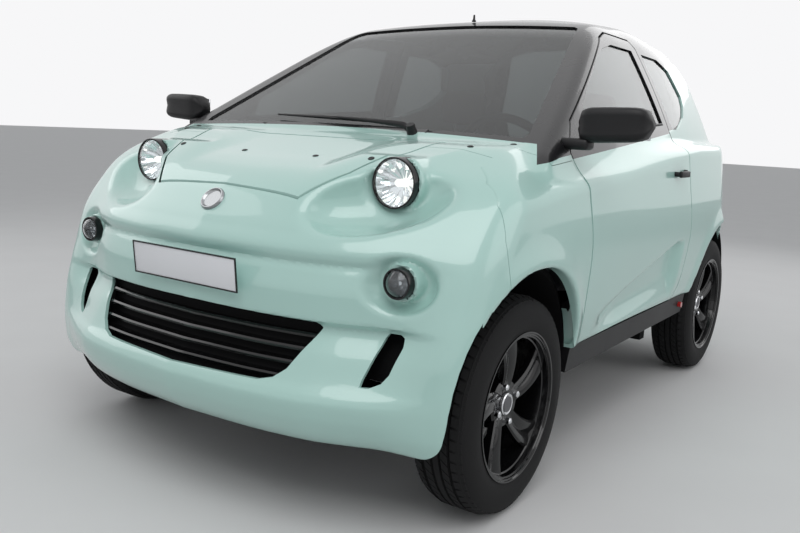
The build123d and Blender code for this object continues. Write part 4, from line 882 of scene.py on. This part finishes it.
class MICROCAR_OT_cabin_panels(bpy.types.Operator):
    """Build the doors, the quarters, the roof, the pillars, the tailgate and the rear bumper"""

    bl_idname = "microcar.cabin_panels"
    bl_label = "Cabin Panels"

    def execute(self, context):
        paint, black = material_of("paint"), material_of("roof_black")
        wall = carved(form("rear", 0), "DIFFERENCE", form("rear", WALL))
        (y0, z0), (y1, z1) = WAIST
        below = [(F(y0), 0.2), (F(y1), 0.2), (F(y1), z1), (F(y0), z0)]
        roof_tool = lambda: prism("z", mirrored(ROOF_HALF), 1.18, 1.6)
        gate_space = lambda: prism("y", drawn_in(mirrored(GATE_HALF), -GAP), GATE_Y - GAP, R(0.7))
        bumper_box = lambda: prism("z", [(-0.9, R(0.25)), (0.9, R(0.25)), (0.9, R(0.6)), (-0.9, R(0.6))],
                                   0.2, 0.636)
        for sign, name in ((1, "left"), (-1, "right")):
            door = carved(copy_of(wall, "door"), "INTERSECT", door_tool(0, sign))
            door = carved(door, "DIFFERENCE", prism("y", mirrored(BETWEEN_DOORS), F(0.15), F(1.40)))
            frame_piece = carved(copy_of(door, "frame"), "DIFFERENCE", prism("x", below, -0.9, 0.9),
                                 side_tool(DOOR_WINDOW, sign))
            shell = carved(door, "INTERSECT", prism("x", below, -0.9, 0.9))
            settled(shell, f"door_{name}_skin", f"door_{name}", paint,
                    (f"door_{name}_shell",))
            settled(frame_piece, f"door_{name}_surround", f"door_{name}", black,
                    (f"door_{name}_frame",))
        quarters = []
        for sign in SIDES:
            quarter = carved(copy_of(wall, "quarter"), "INTERSECT", side_tool(QUARTER, sign))
            quarters.append(carved(quarter, "DIFFERENCE", gate_space(), bumper_box(), door_tool(GAP, sign),
                                   side_tool(QUARTER_WINDOW, sign),
                                   arch_tool(WHEELBASE, sign, 0.048, 0.680)))
        settled(joined("quarters", *quarters), "quarter_skins", "body", paint,
                ("quarter_panels",))
        roof = carved(form("rear", 0), "DIFFERENCE", form("rear", ROOF_WALL))
        roof = carved(roof, "INTERSECT", roof_tool())
        settled(roof, "roof_skin", "body", black, ("roof_panel",))
        gate = carved(copy_of(wall, "gate"), "INTERSECT", prism("y", mirrored(GATE_HALF), GATE_Y, R(0.7)))
        gate = carved(gate, "DIFFERENCE", prism("y", mirrored(TAIL_WINDOW), GATE_Y + 0.03, R(0.7)),
                      prism("y", [(-0.62, 0.60), (0.62, 0.60), (0.62, 0.72), (-0.62, 0.72)], GATE_Y - 0.02,
                            R(0.290)))
        settled(gate, "tailgate_skin", "tailgate", black, ("tailgate_frame",))
        pillars = carved(copy_of(wall, "pillars"), "INTERSECT",
                         prism("z", [(-0.9, SCREEN_BASE - 0.002), (0.9, SCREEN_BASE - 0.002),
                                     (0.9, ROOF_REAR), (-0.9, ROOF_REAR)], 0.872, 1.6))
        pillars = carved(pillars, "DIFFERENCE", *[door_tool(GAP, sign) for sign in SIDES], roof_tool(),
                         screen_tool(0),
                         *[side_tool(rows, sign) for rows in (QUARTER, QUARTER_WINDOW, WING, CORNER)
                           for sign in SIDES], gate_space())
        toes = [carved(carved(copy_of(wall, "toe"), "INTERSECT", toe_tool(sign)), "DIFFERENCE",
                       door_tool(GAP, sign)) for sign in SIDES]
        pillars = joined("pillars", pillars, *toes)
        settled(pillars, "pillars", "body", black, ("pillar_frame",))
        drop(wall)
        skin = carved(form("rear", 0), "DIFFERENCE", form("rear", SKIN))
        bumper = carved(carved(skin, "INTERSECT", bumper_box()), "DIFFERENCE",
                        *[arch_tool(WHEELBASE, sign, ARCH_LIP, 0.640) for sign in SIDES])
        settled(bumper, "rear_bumper_skin", "body", paint, ("rear_bumper",))
        linings = [arch_lining(y, sign, reach) for y, reach in ((0.0, 0.690), (WHEELBASE, 0.650))
                   for sign in SIDES]
        settled(joined("linings", *linings), "arch_linings", "body", material_of("under_black"))
        return {"FINISHED"}


class MICROCAR_OT_glass(bpy.types.Operator):
    """Build the windscreen, the side windows and the rear window"""

    bl_idname = "microcar.glass"
    bl_label = "Glass"

    def execute(self, context):
        glass = material_of("glass")
        outer, inner = 0.006, 0.011
        pane = carved(form("rear", outer), "DIFFERENCE", form("rear", inner))
        settled(carved(copy_of(pane, "screen"), "INTERSECT", screen_tool(0.0006)), "windscreen_glass",
                "body", glass, ("windscreen",))
        for sign, name in ((1, "left"), (-1, "right")):
            tool = side_tool(DOOR_WINDOW, sign, gap=-0.0006)
            settled(carved(copy_of(pane, "window"), "INTERSECT", tool), f"door_{name}_window",
                    f"door_{name}", glass, (f"door_{name}_glass",))
        quarter = [carved(copy_of(pane, "window"), "INTERSECT", side_tool(QUARTER_WINDOW, sign,
                gap=-0.0006)) for sign in SIDES]
        settled(joined("quarter", *quarter), "quarter_panes", "body", glass, ("quarter_windows",))
        tail = prism("y", drawn_in(mirrored(TAIL_WINDOW), 0.0006), GATE_Y + 0.031, R(0.7))
        settled(carved(pane, "INTERSECT", tail), "rear_window", "tailgate", glass,
                ("tailgate_glass",))
        return {"FINISHED"}


class MICROCAR_OT_nose_fittings(bpy.types.Operator):
    """Build the grille, the badge, the number plates and the small screws"""

    bl_idname = "microcar.nose_fittings"
    bl_label = "Nose Fittings"

    def execute(self, context):
        # backing and slats of the lower grille
        columns = np.linspace(-0.392, 0.392, 41)
        back = [[Vector((x, surface_y(x, z) + 0.046, z)) for z in (0.344, 0.43, 0.516)] for x in columns]
        verts = [v for column in back for v in column] + [v + Vector((0, 0.004, 0)) for column in back
                                                          for v in column]
        half = len(verts) // 2
        faces = []
        for i in range(40):
            for j in range(2):
                a, b, c, d = i * 3 + j, (i + 1) * 3 + j, (i + 1) * 3 + j + 1, i * 3 + j + 1
                faces += [(a, b, c, d), (a + half, d + half, c + half, b + half)]
        edge = [i * 3 for i in range(41)] + [41 * 3 - 2] + [i * 3 + 2 for i in reversed(range(41))] + [1]
        faces += [(edge[i], edge[i] + half, edge[(i + 1) % len(edge)] + half, edge[(i + 1) % len(edge)])
                  for i in range(len(edge))]
        settled(fixed_out(new_object("grille_back", verts, faces)), "grille_back", "body",
                material_of("under_black"), ("grille",))
        gap = 0.124 / context.scene.microcar.slats
        rings = []
        for x in columns:
            y = surface_y(x, 0.38)
            rings.append([(x, y + dy, 0.372 + dz) for dy, dz in ((0.010, 0.005), (0.006, 0.001),
                    (0.008, -0.005), (0.040, -0.002), (0.040, 0.004))])
        slat = swept(rings)
        lean = (surface_y(0, 0.49) - surface_y(0, 0.372)) / 0.118 * gap
        slats = repeated(slat, context.scene.microcar.slats, shift=(0, lean, gap), material="gloss_black")
        opening = prism("y", drawn_in(mirrored(GRILLE_OPENING), 0.0008), F(-0.60), F(-0.30))
        settled(carved(slats, "INTERSECT", opening), "grille_slats", "body", material_of("gloss_black"))
        # round badge on the slope above the number plate
        badge = turned([(-0.006, 0.0), (-0.006, 0.024), (-0.0075, 0.026), (-0.011, 0.029), (-0.011, 0.031),
                        (-0.006, 0.034), (0.004, 0.034), (0.004, 0.0)][::-1], "y", 48)
        z = 0.747
        place = Vector((0, surface_y(0, z), z))
        tilt = math.atan2(surface_y(0, z + 0.02) - surface_y(0, z - 0.02), 0.04)
        badge = moved(badge, Matrix.Translation(place) @ Matrix.Rotation(-tilt, 4, "X")
                      @ Matrix.Translation((0, 0.004, 0)))
        settled(badge, "badge_ring", "body", material_of("badge_metal"), ("badge",))
        for node, lean, half_x, half_z, rides, way in (("front_plate", 6, 0.184, 0.042, "body", -1),
                                                       ("rear_plate", 0, 0.26, 0.055, "tailgate", 1)):
            low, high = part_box(node)
            middle = (low + high) / 2
            turn = Matrix.Translation(middle) @ Matrix.Rotation(math.radians(lean), 4, "X")
            plate = rounded_box((-half_x, -0.0012, -half_z), (half_x, 0.0012, half_z), 0.0008, 2)
            plate = moved(plate, turn)
            settled(plate, f"{node}_blank", rides, material_of("plate"), (node,))
            border = prism("y", [(-half_x, -half_z), (half_x, -half_z), (half_x, half_z),
                                 (-half_x, half_z)], way * 0.0008 - 0.0016, way * 0.0008 + 0.0016)
            inner = prism("y", [(-half_x + 0.0035, -half_z + 0.0035), (half_x - 0.0035, -half_z + 0.0035),
                                (half_x - 0.0035, half_z - 0.0035), (-half_x + 0.0035, half_z - 0.0035)],
                                -0.01, 0.01)
            settled(moved(carved(border, "DIFFERENCE", inner), turn), f"{node}_border", rides,
                    material_of("gloss_black"))
        # plugs over the screws of the bonnet and the scuttle
        plugs = []
        for x, y in ((0.13, -0.122), (0.34, -0.160), (0.52, 0.010), (0.585, 0.118)):
            for sign in SIDES:
                z = top_z(x, F(y))
                plug = turned([(-0.003, 0.0), (-0.003, 0.0085), (0.001, 0.0085), (0.0022, 0.0065),
                               (0.0012, 0.003), (0.0012, 0.0)], "z", 20)
                rise = math.atan2(top_z(x, F(y + 0.01)) - top_z(x, F(y - 0.01)), 0.02)
                plugs.append((x < 0.4, moved(plug, Matrix.Translation((sign * x, F(y), z))
                                             @ Matrix.Rotation(rise, 4, "X"))))
        settled(joined("plugs", *[plug for lid, plug in plugs if lid]), "bonnet_plugs", "bonnet",
                material_of("trim_black"))
        settled(joined("plugs", *[plug for lid, plug in plugs if not lid]), "scuttle_plugs", "body",
                material_of("trim_black"))
        return {"FINISHED"}


class MICROCAR_OT_lamps(bpy.types.Operator):
    """Build the headlamps, the fog lamps and the tail lamps"""

    bl_idname = "microcar.lamps"
    bl_label = "Lamps"

    def execute(self, context):
        for kind, lamp, node in (("headlamp", HEADLAMP, "headlamps"),
                                 ("fog_lamp", FOG_LAMP, "front_lamps")):
            r = lamp["r"]
            rims, bowls_, lenses, bulbs = [], [], [], []
            for sign in SIDES:
                here = Matrix.Translation((sign * lamp["x"], F(lamp["y"]), lamp["z"]))
                rims.append(moved(turned([(-0.010, r), (-0.013, r - 0.001), (-0.013, r - 0.0045),
                        (-0.004, r - 0.0055), (0.040, r - 0.006), (0.040, r)], "y", 64), here))
                facets = turned([(-0.004, r - 0.006), (0.010, r * 0.80), (0.024, r * 0.56),
                                 (0.032, r * 0.26), (0.034, 0.0), (0.040, 0.0), (0.040, r - 0.006)][::-1],
                                 "y", 72)
                co = np.empty(len(facets.data.vertices) * 3)
                facets.data.vertices.foreach_get("co", co)
                co = co.reshape(-1, 3)
                angle = np.arctan2(co[:, 2], co[:, 0])
                ripple = 1 + 0.07 * np.cos(angle * 12) * (co[:, 1] > 0)
                co[:, 0] *= ripple
                co[:, 2] *= ripple
                facets.data.vertices.foreach_set("co", co.ravel())
                bowls_.append(moved(facets, here))
                dome = [(-0.011 - 0.017 * (1 - (q / (r - 0.005)) ** 2), q) for q in np.linspace(r - 0.005,
                        0, 9)]
                lenses.append(moved(turned(dome[::-1] + [(a + 0.0025, b) for a, b in dome], "y", 64), here))
                bulbs.append(moved(turned([(0.004, 0.0), (0.004, r * 0.11), (0.010, r * 0.15),
                                           (0.036, r * 0.15), (0.036, 0.0)][::-1], "y", 32), here))
            settled(joined("rims", *rims), f"{kind}_rims", "body", material_of("gloss_black"),
                    (node,))
            # the headlamp reflectors carry a faint painted glow, the fog lamp reflectors none
            inside = "reflector_painted_glow" if kind == "headlamp" else "fog_reflector"
            settled(joined("bowls", *bowls_), f"{kind}_reflectors", "body", material_of(inside),
                    smooth=20)
            settled(joined("lenses", *lenses), f"{kind}_lenses", "body", material_of("lens"))
            settled(joined("bulbs", *bulbs), f"{kind}_bulbs", "body",
                    material_of("bulb" if kind == "headlamp" else "chrome"))
        red, rings = [], []
        for x, z in ((0.622, 0.715), (0.612, 0.812)):
            for sign in SIDES:
                y = F(float(TAIL_FACE(z) - TAIL_PLAN(x)))
                here = Matrix.Translation((sign * x, y, z)) @ Matrix.Rotation(sign * -0.62, 4, "Z")
                dome = [(0.004 + 0.011 * (1 - (q / 0.037) ** 2), q) for q in np.linspace(0.037, 0, 7)]
                red.append(moved(turned([(-0.030, 0.0), (-0.030, 0.037)] + dome, "y", 48), here))
                rings.append(moved(turned([(-0.030, 0.042), (0.006, 0.042), (0.008, 0.040), (0.006, 0.0375),
                                           (-0.030, 0.0375)], "y", 48), here))
        settled(joined("red", *red), "tail_lamp_lenses", "body", material_of("red_lens"),
                ("tail_lamps",))
        settled(joined("rings", *rings), "tail_lamp_rings", "body", material_of("chrome"))
        return {"FINISHED"}


class MICROCAR_OT_wheels(bpy.types.Operator):
    """Build the tyres, the rims, their spokes and their nuts"""

    bl_idname = "microcar.wheels"
    bl_label = "Wheels"

    def execute(self, context):
        sizes = context.scene.microcar
        across = [(0.062, 0.1805), (0.0735, 0.190), (0.0785, 0.208), (0.0788, 0.224), (0.077, 0.242),
                  (0.0715, 0.258), (0.0655, 0.266),
                  (0.058, 0.2715), (0.040, 0.2735), (0.0385, 0.2695), (0.0345, 0.2695), (0.033, 0.2740),
                  (0.014, 0.2745), (0.012, 0.2700), (0.009, 0.2700), (0.0075, 0.2775)]
        tyre = turned(across + [(-x, r) for x, r in across[::-1]], "x", 96, "tyre")
        pitch = math.tau / sizes.tread_blocks
        blocks = []
        top = 0.2735 + sizes.tread_depth
        for side in SIDES:
            for x0, x1, wide, slant in ((0.0405, 0.0660, 0.80, 0.22), (0.0145, 0.0325, 0.88, 0.60)):
                ring = []
                for x, drop_by in ((x0, 0.0), (x1, 0.0095 if x1 > 0.05 else 0.0)):
                    for edge in (-0.5, 0.5):
                        for r in (0.262 if drop_by else 0.270, top - drop_by):
                            a = pitch * (edge * wide + slant * (x - x0) / (x1 - x0) * side)
                            ring.append((side * x, r * math.cos(a), r * math.sin(a)))
                blocks.append(fixed_out(new_object("block", ring, [(0, 1, 3, 2), (4, 6, 7, 5), (0, 4, 5, 1),
                        (2, 3, 7, 6), (0, 2, 6, 4), (1, 5, 7, 3)])))
        tread = repeated(joined("tread", *blocks), sizes.tread_blocks, turn=(pitch, 0, 0),
                         material="rubber")
        # barrel and lip of the rim, its five broad curved spokes, and the hub
        barrel = turned([(0.0768, 0.1905), (0.0768, 0.1865), (0.0735, 0.1850), (0.0735, 0.1815),
                         (0.0690, 0.1800), (0.0685, 0.1765), (0.056, 0.1745), (0.054, 0.1710),
                         (0.030, 0.1670), (-0.060, 0.1650),
                         (-0.0765, 0.1830), (-0.0768, 0.1905), (-0.0740, 0.1905), (-0.066, 0.1790),
                         (-0.050, 0.1705), (0.045, 0.1725), (0.058, 0.1785), (0.0700, 0.1795),
                         (0.0735, 0.1905)], "x", 96)
        rings = []
        steps = np.linspace(0, 1, 13)
        for t in steps:
            r = 0.030 + 0.143 * t
            bend = 0.24 * t ** 1.6
            half = 0.0225 + 0.0185 * t ** 1.5
            face = 0.034 + 0.006 * math.sin(t * math.pi) + 0.022 * t ** 1.5
            groove = 0.0075 * math.sin(min(t * 1.25, 1) * math.pi / 2) * (t > 0.15)
            ring = []
            for u, x in ((-1, -0.020), (-1, -0.004), (-0.82, 0.0), (-0.42, -0.0015), (0, -groove - 0.0015),
                         (0.42, -0.0015), (0.82, 0.0), (1, -0.004), (1, -0.020), (0, -0.026)):
                side = u * half
                angle = bend + side / r
                ring.append((face + x, r * math.cos(angle), r * math.sin(angle)))
            rings.append(ring)
        spokes = repeated(swept(rings), sizes.spokes, turn=(math.tau / sizes.spokes, 0, 0),
                          material="gloss_black")
        hub = turned([(-0.010, 0.022), (0.022, 0.022), (0.030, 0.030), (0.034, 0.032), (0.036, 0.058),
                      (0.031, 0.066), (0.012, 0.070), (-0.010, 0.070)][::-1], "x", 64)
        cap = turned([(0.020, 0.0), (0.020, 0.0285), (0.041, 0.0285), (0.0435, 0.026), (0.042, 0.023),
                      (0.0425, 0.0)][::-1], "x", 40)
        nut = turned([(0.030, 0.0), (0.030, 0.0095), (0.046, 0.0090), (0.0485, 0.006), (0.0485, 0.0)][::-1],
                     "x", 6)
        nut.data.transform(Matrix.Translation((0, 0.050, 0)))
        nuts = repeated(nut, 4, turn=(math.tau / 4, 0, 0), material="chrome")
        pieces = (("tyre_carcass", tyre, "rubber", "tyre"), ("tyre_tread", tread, "rubber", "tyre"),
                  ("rim_barrel", barrel, "gloss_black", "alloy_black"),
                  ("rim_spokes", spokes, "gloss_black", "alloy_black"), ("rim_hub", hub, "gloss_black",
                      "alloy_black"), ("hub_cap", cap, "chrome", "chrome"),
                      ("wheel_nuts", nuts, "chrome", "chrome"))
        for name, y, sign in (("front_left", FRONT_AXLE, 1), ("front_right", FRONT_AXLE, -1),
                              ("rear_left", REAR_AXLE, 1), ("rear_right", REAR_AXLE, -1)):
            place = Matrix.Translation((sign * WHEEL_X, y, AXLE_Z)) @ Matrix.Rotation(0.30, 4,
                    "X") @ Matrix.Scale(sign, 4, (1, 0, 0))
            for label, piece, finish_name, slot in pieces:
                node = {"tyre_carcass": (f"wheel_{name}_tyre",), "rim_barrel": (f"wheel_{name}_rim",
                        )}.get(label, ())
                settled(moved(copy_of(piece, "work"), place), f"{name}_{label}", f"wheel_{name}",
                        material_of(finish_name), node, smooth=28)
        for _, piece, _, _ in pieces:
            drop(piece)
        return {"FINISHED"}


class MICROCAR_OT_side_fittings(bpy.types.Operator):
    """Build the mirrors, the door handles, the belt strips, the wiper and the antenna"""

    bl_idname = "microcar.side_fittings"
    bl_label = "Side Fittings"

    def execute(self, context):
        black = material_of("trim_black")
        housings, mirrors = [], []
        for sign in SIDES:
            rings = []
            steps = np.linspace(0, 1, 15)
            for t in steps:
                swell = math.sqrt(max(1 - (2 * t - 1) ** 6, 0.0)) * 0.96 + 0.04
                x = 0.706 + 0.188 * t
                front, back = F(0.204 + 0.014 * t ** 2 + 0.030 * (1 - swell)), F(0.291
                        - 0.012 * (1 - swell))
                low, high = 0.9305 + 0.012 * t + 0.034 * (1 - swell), 1.028 - 0.004 * (1 - t) - 0.036 * (1
                        - swell)
                ring = []
                for a in np.linspace(0, math.tau, 20, endpoint=False):
                    c, q = math.cos(a), math.sin(a)
                    c, q = (math.copysign(abs(v) ** 0.55, v) for v in (c, q))
                    depth = (front + back) / 2 - (back - front) / 2 * c
                    ring.append((sign * x, depth + (0.010 * (1 - abs(q)) if c > 0 else 0), (low + high) / 2
                                 + (high - low) / 2 * q))
                rings.append(ring)
            housings.append(swept(rings))
            housings.append(rounded_box((min(sign * 0.655, sign * 0.745), F(0.212), 0.914),
                                        (max(sign * 0.655, sign * 0.745), F(0.268), 0.944), 0.011, 3))
            glass = rounded_box((min(sign * 0.722, sign * 0.880), F(0.2885), 0.946),
                                (max(sign * 0.722, sign * 0.880), F(0.2945), 1.014), 0.0022, 2)
            mirrors.append(glass)
        settled(joined("mirrors", *housings), "mirror_housings", "body", black,
                ("side_mirrors",), smooth=50)
        settled(joined("mirror_glass", *mirrors), "mirror_faces", "body", material_of("chrome"))
        for sign, name in ((1, "left"), (-1, "right")):
            low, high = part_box(f"door_{name}_handle")
            outer, inner = (high.x, low.x) if sign > 0 else (low.x, high.x)
            paddle = rounded_box((min(outer, outer - sign * 0.012), low.y, low.z),
                                 (max(outer, outer - sign * 0.012), high.y - 0.024, high.z), 0.005, 3)
            posts = [rounded_box((min(inner, outer - sign * 0.006), y, low.z + 0.003),
                                 (max(inner, outer - sign * 0.006), y + 0.016, high.z - 0.003), 0.002, 1)
                                 for y in (low.y + 0.006, high.y - 0.046)]
            lock = moved(turned([(0.0, 0.0), (0.0, 0.011), (0.010, 0.011), (0.012, 0.009),
                                 (0.012, 0.0)][::-1], "x", 24),
                                 Matrix.Translation((inner + sign * 0.012, high.y - 0.008, high.z - 0.008))
                                 @ Matrix.Scale(sign, 4, (1, 0, 0)))
            settled(joined("handle", paddle, *posts, lock), f"door_{name}_pull", f"door_{name}", black,
                    (f"door_{name}_handle",), smooth=50)
            rows = []
            for y in np.linspace(0.425, 1.150, 20):
                z = 0.9545 + (y - 0.425) * 0.0705
                x = float(CABIN_WIDTH(y)) - 0.47 * (z - 0.95) + 0.004
                rows.append((sign * x, F(y), z))
            strip = rod(rows, 0.0045, 8)
            settled(strip, f"door_{name}_belt_strip", f"door_{name}", black, smooth=60)
        # wiper parked towards the left of the screen
        (y0, z0), (y1, z1) = SCREEN_FOOT, SCREEN_HEAD
        run = math.hypot(y1 - y0, z1 - z0)

        def on_screen(x, up, off):
            """A place above the windscreen: across, up the screen, and off its surface."""
            bow = 0.014 * (x / 0.60) ** 2 - 0.010
            off = off - bow
            return Vector((x, F(y0) + up * (y1 - y0) / run - off * (z1 - z0) / run,
                           z0 + up * (z1 - z0) / run + off * (y1 - y0) / run))

        arm = rod([on_screen(0.262, -0.004, 0.004), on_screen(0.235, 0.003, 0.020),
                   on_screen(0.10, 0.020, 0.018), on_screen(-0.03, 0.036, 0.014)],
                   [0.011, 0.009, 0.006, 0.004])
        blade = rod([on_screen(0.22, 0.030, 0.006), on_screen(-0.03, 0.036, 0.011),
                     on_screen(-0.29, 0.058, 0.006)], [0.003, 0.0062, 0.003], 6)
        pivot = rod([on_screen(0.262, -0.004, -0.006), on_screen(0.262, -0.004, 0.026)], [0.016, 0.012], 16)
        settled(joined("wiper", arm, blade, pivot), "wiper_arm_and_blade", "body", black,
                ("wiper",), smooth=50)
        low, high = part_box("antenna")
        middle = (low + high) / 2
        stub = turned([(low.z, 0.0), (low.z, 0.0078), (low.z + 0.004, 0.0075), (low.z + 0.008, 0.0045),
                       (high.z - 0.001, 0.0032), (high.z, 0.0)], "z", 20)
        settled(moved(stub, Matrix.Translation((0, middle.y, 0))), "antenna_stub", "body", black,
                ("antenna",))
        return {"FINISHED"}


class MICROCAR_OT_cabin(bpy.types.Operator):
    """Build the padded seats and their head rest posts"""

    bl_idname = "microcar.cabin"
    bl_label = "Cabin"

    def execute(self, context):
        cloth = material_of("seat_cloth")
        for node in ("driver_seat", "passenger_seat"):
            low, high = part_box(node)
            middle = (low.x + high.x) / 2
            front, back = low.y, high.y
            parts = (
                # name, half width, y and z of the lower and the upper end, thickness there
                ("cushion", 0.196, [(front + 0.012, low.z + 0.060, 0.095),
                                    (front + 0.16, low.z + 0.075, 0.125),
                                    (front + 0.34, low.z + 0.062, 0.115),
                                    (front + 0.45, low.z + 0.066, 0.100)]),
                ("backrest", 0.188, [(front + 0.415, low.z + 0.11, 0.085),
                    (front + 0.440, low.z + 0.25, 0.105), (front + 0.475, low.z + 0.40, 0.095),
                    (front + 0.522, low.z + 0.548, 0.075)]),
                ("head_rest", 0.108, [(back - 0.062, high.z - 0.165, 0.050),
                    (back - 0.056, high.z - 0.110, 0.075), (back - 0.050, high.z - 0.050, 0.070),
                    (back - 0.046, high.z - 0.014, 0.040)]),
            )
            for label, half, rows in parts:
                rings = []
                for i, (y, z, thick) in enumerate(rows):
                    a, b = rows[max(i - 1, 0)], rows[min(i + 1, len(rows) - 1)]
                    ahead = Vector((0, b[0] - a[0], b[1] - a[1])).normalized()
                    up = Vector((0, -ahead.z, ahead.y))
                    end = 0.90 if i in (0, len(rows) - 1) else 1.0
                    ring = []
                    for u, v in ((-1, -0.5), (-1, 0.35), (-0.80, 0.56), (-0.52, 0.38), (0, 0.34),
                                 (0.52, 0.38), (0.80, 0.56), (1, 0.35), (1, -0.5), (0, -0.5)):
                        if label == "head_rest":
                            v = max(min(v, 0.42), -0.42)
                        ring.append(Vector((middle + u * half * end, y, z)) + up * v * thick * end)
                    rings.append(ring)
                pad = swept(rings)
                smooth = pad.modifiers.new("smooth", "SUBSURF")
                smooth.levels = smooth.render_levels = 3
                pad = applied(pad)
                settled(pad, f"{node}_{label}", "body", cloth, (node,) if label == "cushion"
                        else (), smooth=80)
            posts = [rod([(middle + x, back - 0.052, high.z - 0.22),
                          (middle + x, back - 0.052, high.z - 0.13)], 0.006) for x in (-0.045, 0.045)]
            settled(joined("posts", *posts), f"{node}_head_rest_posts", "body", material_of("chrome"))
        return {"FINISHED"}


PLAIN = {
    "chassis_frame": "under_black", "floor_tub": "under_black", "wheel_liners": "under_black",
    "sills": "trim_black",
    "engine": "iron", "dashboard": "trim_black", "seat_bases": "under_black", "knuckle_left": "steel",
    "knuckle_right": "steel", "front_arms": "steel", "rear_axle": "steel", "steering_wheel": "trim_black",
    "side_markers": "red_lens",
}


class MICROCAR_OT_carried_over(bpy.types.Operator):
    """Give the plain pieces of the frame their finishes"""

    bl_idname = "microcar.carried_over"
    bl_label = "Plain Pieces"

    def execute(self, context):
        for node, name in PLAIN.items():
            if node in frame["nodes"]:
                piece = frame["nodes"][node]
                piece.data.materials.clear()
                piece.data.materials.append(material_of(name))
        return {"FINISHED"}


CAMERA = dict(place=(1.551, FRONT_AXLE - 1.803, 0.948), yaw=34.02, pitch=-9.584, roll=2.977, lens=37.06)


class MICROCAR_OT_stage(bpy.types.Operator):
    """Set the floor, the lamps, the sky and the camera"""

    bl_idname = "microcar.stage"
    bl_label = "Stage"

    def execute(self, context):
        scene = context.scene
        scene.view_settings.view_transform = "Standard"
        floor = new_object("floor", [(-40, -40, -0.0005), (40, -40, -0.0005), (40, 40, -0.0005),
                                     (-40, 40, -0.0005)], [(0, 1, 2, 3)])
        material = bpy.data.materials.new("floor")
        material.use_nodes = True
        nodes, links = material.node_tree.nodes, material.node_tree.links
        shader = nodes["Principled BSDF"]
        place, cloud = nodes.new("ShaderNodeTexCoord"), nodes.new("ShaderNodeTexNoise")
        mix = nodes.new("ShaderNodeMix")
        mix.data_type = "RGBA"
        cloud.inputs["Scale"].default_value = 3
        mix.inputs["A"].default_value, mix.inputs["B"].default_value = (0.70, 0.70, 0.70, 1), (0.74, 0.74,
                0.74, 1)
        links.new(place.outputs["Object"], cloud.inputs["Vector"])
        links.new(cloud.outputs["Fac"], mix.inputs["Factor"])
        links.new(mix.outputs["Result"], shader.inputs["Base Color"])
        shader.inputs["Roughness"].default_value = 0.9
        floor.data.materials.append(material)
        world = bpy.data.worlds.new("sky")
        scene.world = world
        world.use_nodes = True
        nodes, links = world.node_tree.nodes, world.node_tree.links
        light_path, add, add2, mix = (nodes.new(kind) for kind in ("ShaderNodeLightPath", "ShaderNodeMath",
                "ShaderNodeMath", "ShaderNodeMix"))
        add.operation = add2.operation = "ADD"
        add.use_clamp = add2.use_clamp = True
        links.new(light_path.outputs["Is Camera Ray"], add.inputs[0])
        links.new(light_path.outputs["Is Glossy Ray"], add.inputs[1])
        links.new(add.outputs[0], add2.inputs[0])
        links.new(light_path.outputs["Is Transmission Ray"], add2.inputs[1])
        mix.data_type = "RGBA"
        mix.inputs["A"].default_value = (0.40, 0.41, 0.42, 1)
        mix.inputs["B"].default_value = (0.93, 0.93, 0.94, 1)
        links.new(add2.outputs[0], mix.inputs["Factor"])
        links.new(mix.outputs["Result"], nodes["Background"].inputs["Color"])
        for name, energy, size, place, aim in (("key", 70, 3.0, (1.5, -3.0, 4.0), (0, -0.4, 0.6)),
                                               ("fill", 30, 3.0, (4.5, 0.5, 2.4), (0, 0, 0.6)),
                                               ("far_side", 30, 3.0, (-4.0, -1.5, 3.0), (0, 0, 0.6)),
                                               ("back", 30, 3.0, (0.5, 4.5, 3.2), (0, 0, 0.8))):
            lamp = bpy.data.lights.new(name, "AREA")
            lamp.energy, lamp.size = energy, size
            holder = bpy.data.objects.new(name, lamp)
            scene.collection.objects.link(holder)
            holder.location = place
            holder.rotation_euler = (Vector(aim) - Vector(place)).to_track_quat("-Z", "Y").to_euler()
        data = bpy.data.cameras.new("camera")
        data.lens, data.sensor_width = CAMERA["lens"], 36
        camera = bpy.data.objects.new("camera", data)
        scene.collection.objects.link(camera)
        yaw, pitch, roll = (math.radians(CAMERA[k]) for k in ("yaw", "pitch", "roll"))
        ahead = Vector((-math.sin(yaw) * math.cos(pitch), math.cos(yaw) * math.cos(pitch), math.sin(pitch)))
        across = Vector((math.cos(yaw), math.sin(yaw), 0))
        above = across.cross(ahead)
        right = across * math.cos(roll) + above * math.sin(roll)
        up = above * math.cos(roll) - across * math.sin(roll)
        turn = Matrix((right, up, -ahead)).transposed()
        camera.matrix_world = Matrix.Translation(CAMERA["place"]) @ turn.to_4x4()
        scene.camera = camera
        return {"FINISHED"}


OPERATORS = (MICROCAR_OT_front, MICROCAR_OT_cabin_panels, MICROCAR_OT_glass, MICROCAR_OT_nose_fittings,
             MICROCAR_OT_lamps,
             MICROCAR_OT_wheels, MICROCAR_OT_side_fittings, MICROCAR_OT_cabin, MICROCAR_OT_carried_over,
             MICROCAR_OT_stage)


class MICROCAR_PT_panel(bpy.types.Panel):
    bl_label = "Microcar"
    bl_idname = "MICROCAR_PT_panel"
    bl_space_type = "VIEW_3D"
    bl_region_type = "UI"
    bl_category = "Microcar"

    def draw(self, context):
        for name in MicrocarSizes.__annotations__:
            self.layout.prop(context.scene.microcar, name)
        for operator in OPERATORS:
            self.layout.operator(operator.bl_idname)


def register():
    for item in (MicrocarSizes, *OPERATORS, MICROCAR_PT_panel):
        bpy.utils.register_class(item)
    bpy.types.Scene.microcar = bpy.props.PointerProperty(type=MicrocarSizes)


def unregister():
    del bpy.types.Scene.microcar
    for item in (MICROCAR_PT_panel, *OPERATORS[::-1], MicrocarSizes):
        bpy.utils.unregister_class(item)


def main():
    register()
    for operator in OPERATORS:
        group, name = operator.bl_idname.split(".")
        getattr(getattr(bpy.ops, group), name)()
    for made in forms.values():
        drop(made)
    bpy.context.view_layer.update()


if __name__ == "__main__":
    main()
